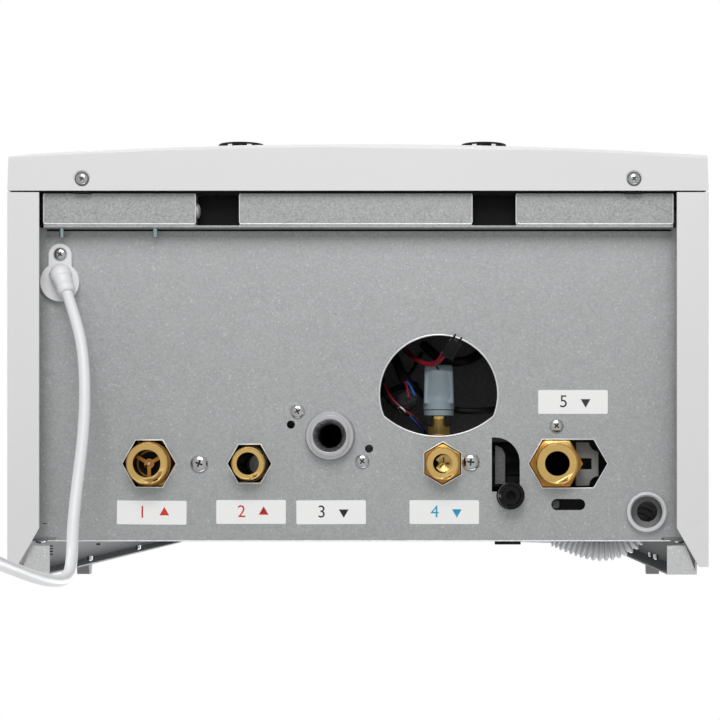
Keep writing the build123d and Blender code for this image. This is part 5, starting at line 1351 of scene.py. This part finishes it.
def lit_figures():
    """The display's number, which glows in fine rows."""
    glow = bpy.data.materials.new("display_glow")
    glow.use_nodes = True
    tree = glow.node_tree
    shader = tree.nodes["Principled BSDF"]
    place = add(tree, "ShaderNodeTexCoord").outputs["Object"]
    rows = add(tree, "ShaderNodeTexWave", {"Vector": place, "Scale": 900.0}, bands_direction="Z")
    shade = remap(tree, rows.outputs["Fac"], to_min=0.75)
    colour = add(tree, "ShaderNodeVectorMath", {0: (0.55, 0.85, 0.95), "Scale": shade}, operation="SCALE")
    tree.links.new(colour.outputs[0], shader.inputs["Emission Color"])
    shader.inputs["Emission Strength"].default_value = 1.0
    place = spot(0, DISPLAY_FRONT, KNOB_HEIGHT)
    text = figures("display_figures", "60", place, 17 * MM, FROM_FRONT, thick=FIGURE_THICK)
    settle(text, "chassis", glow, "dark_glass")


for side, body in ((-1, "knob_left"), (1, "knob_right")):
    knob_marks(side, body)
pressure_dial()
lit_figures()
print("control face: dots, pointers, dial and display")


# %% [markdown]
# ## Small things at the wall side
# The photograph shows a few small things along the plate's rear edge: a black tab, a slot and a nick
# in the plate with black painted shade in them, the teeth at the end of the left channel, a shallow
# embossed square in the right flange, and the two thin lips of the condensate outlet with painted shade
# in the groove between them. Two dark cheeks hold the filling tap's neck, a black block of painted
# shade and a peg show through the pill-shaped slot, and a dark sheet of painted shade hides what lies
# above the access opening. Most are blocks, so one table holds them.

# %% Wall side
OUTLET_RINGS = [  # name, radius, height, thickness, finish
    ("outlet_lip", 11.3 * MM, 0.0150, 0.35 * MM, white_plastic),
    ("outlet_outer_lip", 12.4 * MM, 0.0157, 0.3 * MM, white_plastic),
    # The dark ring in the groove between the lips is painted shade.
    ("outlet_groove_shade", 11.85 * MM, 0.0155, 0.5 * MM, clip_grey_and_shade),
]
for name, radius, level, thick, material in OUTLET_RINGS:
    settle(torus(name, spot(OUTLET_X, OUTLET_Y, level), radius, thick), "chassis", material, "white_plastic")


def chassis_blocks(rows):
    """Blocks from rows of name, place, size in millimetres, edge in millimetres, finish and slot."""
    for name, place, size, edge, material, slot in rows:
        piece = small_block(name, spot(*place), [part * MM for part in size], edge=edge * MM)
        settle(piece, "chassis", material, slot)


CHEEKS = [("neck_cheek_%d" % side, (TAP_X + side * 6.0 * MM, -0.1047, 0.0408), (3.4, 6.4, 8.0), 0.4,
           black_plastic, "black_plastic") for side in (-1, 1)]
chassis_blocks(CHEEKS + [
    ("rear_tab", (0.0945, -0.0265, 0.025), (16.5, 1.9, 9), 0.3, black_plastic, "black_plastic"),
    # A black block in the rear slot and a thin one in the plate's nick are painted shade.
    ("rear_slot_shade", (-0.1660, -0.0258, 0.0215), (2.6, 1.2, 2.0), 0.4, black_plastic, "black_plastic"),
    ("plate_nick_shade", (-0.1998, -0.0389, 0.01995), (2.8, 0.5, 0.15), 0.03, black_plastic, "black_plastic"),
])
TOOTH, TOOTH_PITCH = (2.0 * MM, 0.8 * MM, 1.2 * MM), 1.7 * MM
teeth = [small_block("tooth", spot(-0.1935, -0.0250 + TOOTH_PITCH * step, 0.0075), TOOTH)
         for step in range(4)]
settle(joined("channel_teeth", teeth), "chassis", black_plastic, "black_plastic")
chassis_blocks([
    ("embossed_square", (0.2132, -0.0427, 0.0), (3.6, 3.0, 0.3), 0.14, powder_coat, "painted_white"),
    # A black block behind the pill-shaped slot and a dark sheet above the access opening are painted shade.
    ("slot_painted_shade", (0.1330, -0.0510, 0.0330), (40, 18, 6), 0.5, black_plastic, "black_plastic"),
    ("slot_peg", (0.1250, -0.0512, 0.0290), (5, 5, 6), 0.8, shield_grey_and_shade, "black_plastic"),
    ("end_painted_shade", (0.0870, -0.1220, 0.1015), (22, 60, 1), 0.1, shield_grey_and_shade, "black_plastic"),
])
print("wall side:", len(OUTLET_RINGS), "rings,", len(CHEEKS), "cheeks,", len(teeth), "teeth and 7 blocks")


# %% [markdown]
# ## Rims of the cut-outs
# A punch leaves a rounded, bright roll along one side of the edge that it cuts. Under soft light
# it shows as a thin white line round the hexagons and the access opening. Each is a closed line of
# half a millimetre, sunk halfway into the plate, and its near-white colour is a painted highlight.

# %% Cut-out rims
RIM = 0.45 * MM
# A near-white finish: painted highlight along cut edges and bends.
painted_highlight_edge = finish("cut_edge_painted_highlight", (0.80, 0.81, 0.82), 0.35, metal=0.6, patch=(200, 0.12),
                     grain_size=(2500, 1), scuff=(3, 0))


def rim(name, outline, thickness=RIM, level=PLATE_LOW):
    """A closed rounded line along an outline given as across and from-the-wall pairs."""
    data = bpy.data.curves.new(name, "CURVE")
    data.dimensions = "3D"
    line = data.splines.new("POLY")
    line.points.add(len(outline) - 1)
    for point, (x, y) in zip(line.points, outline):
        point.co = (*spot(x, y, level), 1)
    line.use_cyclic_u = True
    data.bevel_depth = thickness
    data.bevel_resolution = 3
    piece = bpy.data.objects.new(name, data)
    bpy.context.scene.collection.objects.link(piece)
    return settle(piece, "chassis", painted_highlight_edge, "galvanised")


def hexagon_outline(x, flats, turn, stretch=0.0):
    """Corner points of a hexagon whose right half may be moved away to the right."""
    reach = flats / 2 / cos(pi / 6)
    angles = [turn + pi / 3 * corner for corner in range(6)]
    return [(x + reach * cos(angle) + (stretch if cos(angle) > 0.1 else 0), PIPE_ROW + reach * sin(angle))
            for angle in angles]


def arc_through(first, middle, last, steps):
    """Points along the circle through three places."""
    (ax, ay), (bx, by), (cx, cy) = first, middle, last
    double = 2 * (ax * (by - cy) + bx * (cy - ay) + cx * (ay - by))
    a, b, c = ax * ax + ay * ay, bx * bx + by * by, cx * cx + cy * cy
    x = (a * (by - cy) + b * (cy - ay) + c * (ay - by)) / double
    y = (a * (cx - bx) + b * (ax - cx) + c * (bx - ax)) / double
    centre = Vector((x, y))
    begin, through, finish_at = (Vector(place) - centre for place in (first, middle, last))
    total = -(begin.angle_signed(through) + through.angle_signed(finish_at))
    start_angle = -Vector((1, 0)).angle_signed(begin)
    return [(x + begin.length * cos(start_angle + total * step / steps),
             y + begin.length * sin(start_angle + total * step / steps)) for step in range(steps)]


ACCESS_X, ACCESS_Y, ACCESS_RADIUS = 0.0505, -0.1212, 0.03775
ACCESS_SIDE_Y, ACCESS_LOW = -0.1072, -0.0942


def access_outline():
    """The D-shaped opening: a circle towards the front that ends in a flatter arc towards the wall."""
    half = (ACCESS_RADIUS ** 2 - (ACCESS_SIDE_Y - ACCESS_Y) ** 2) ** 0.5
    left, right = (ACCESS_X - half, ACCESS_SIDE_Y), (ACCESS_X + half, ACCESS_SIDE_Y)
    top, bottom = (ACCESS_X, ACCESS_Y - ACCESS_RADIUS), (ACCESS_X, ACCESS_LOW)
    return arc_through(left, (ACCESS_X - ACCESS_RADIUS, ACCESS_Y), top, 20) + \
        arc_through(top, (ACCESS_X + ACCESS_RADIUS, ACCESS_Y), right, 20) + \
        arc_through(right, bottom, left, 24)


def soft_rectangle(left, right, front, rear, corner):
    """Corner points of a rectangle with rounded corners."""
    outline = []
    for x, y, begin in ((right - corner, rear - corner, 0), (left + corner, rear - corner, pi / 2),
                        (left + corner, front + corner, pi), (right - corner, front + corner, 1.5 * pi)):
        outline += [(x + corner * cos(begin + pi / 8 * step), y + corner * sin(begin + pi / 8 * step))
                    for step in range(5)]
    return outline


HEX_CLEAR = 0.0010
SPARE_HEXAGON = 0.0148
for node, (x, radius, flats, bore, round_body) in FITTINGS.items():
    turn = pi / 6 if node == "cold_water_fitting" else 0.0
    stretch = SPARE_HEXAGON if node == "heating_return_fitting" else 0.0
    rim(node + "_rim", hexagon_outline(x, flats + 2 * HEX_CLEAR, turn, stretch))
rim("access_rim", access_outline(), 0.6 * MM)
# Painted highlight lines along the outline of each face of the cross rail.
RAIL_BEND = 2.2 * MM
RAIL_FACES = [(-0.1982, -0.1026), (-0.0748, 0.0716), (0.0994, 0.1982)]
for number, (left, right) in enumerate(RAIL_FACES):
    outline = soft_rectangle(left, right, RAIL_FRONT, RAIL_REAR - RAIL_BEND, RAIL_FOLD)
    rim("rail_edge_highlight_%d" % number, outline, 0.42 * MM, RAIL_LOW)
print("rims:", len(FITTINGS) + 1 + len(RAIL_FACES))


# %% [markdown]
# ## Painted shadow lines at the cross rail
# A narrow gap lies in shade and reads as a black line, so a thin black strip of painted shadow lies
# in front of the cross rail and one behind it, and black blocks of painted shade fill the two notches.
# The plate's rear edge is the opposite: a bright cut line of painted highlight.

# %% Painted shadow and highlight lines along the rail and the plate
RAIL_LENGTH = 2 * 198.2    # in millimetres
# Thin black strips of painted shadow in front of and behind the cross rail, and black painted shade in the
# notches.
chassis_blocks([("rail_front_painted_shadow", (0, RAIL_FRONT - 0.3 * MM, RAIL_LOW - 0.45 * MM), (RAIL_LENGTH, 1.3, 0.1),
                 0.02, black_plastic, "black_plastic")])
notch_shade_pieces = [small_block("notch_painted_shade", spot(x, -0.2360, 0.0215), (31 * MM, 22 * MM, 0.6 * MM))
               for x in (-0.0887, 0.0855)]
settle(joined("notch_painted_shade", notch_shade_pieces), "chassis", black_plastic, "black_plastic")
chassis_blocks([
    # A bright strip of painted highlight along the plate's rear edge.
    ("plate_rear_edge_highlight", (0, -0.0279, 0.0198), (396, 0.6, 0.4), 0.1, painted_highlight_edge, "galvanised"),
    ("rail_rear_painted_shadow", (0, RAIL_REAR + 0.6 * MM, 0.0187), (RAIL_LENGTH, 1.1, 0.1), 0.02, black_plastic,
     "black_plastic"),
])
print("lines along the rail and the plate: 4 pieces")
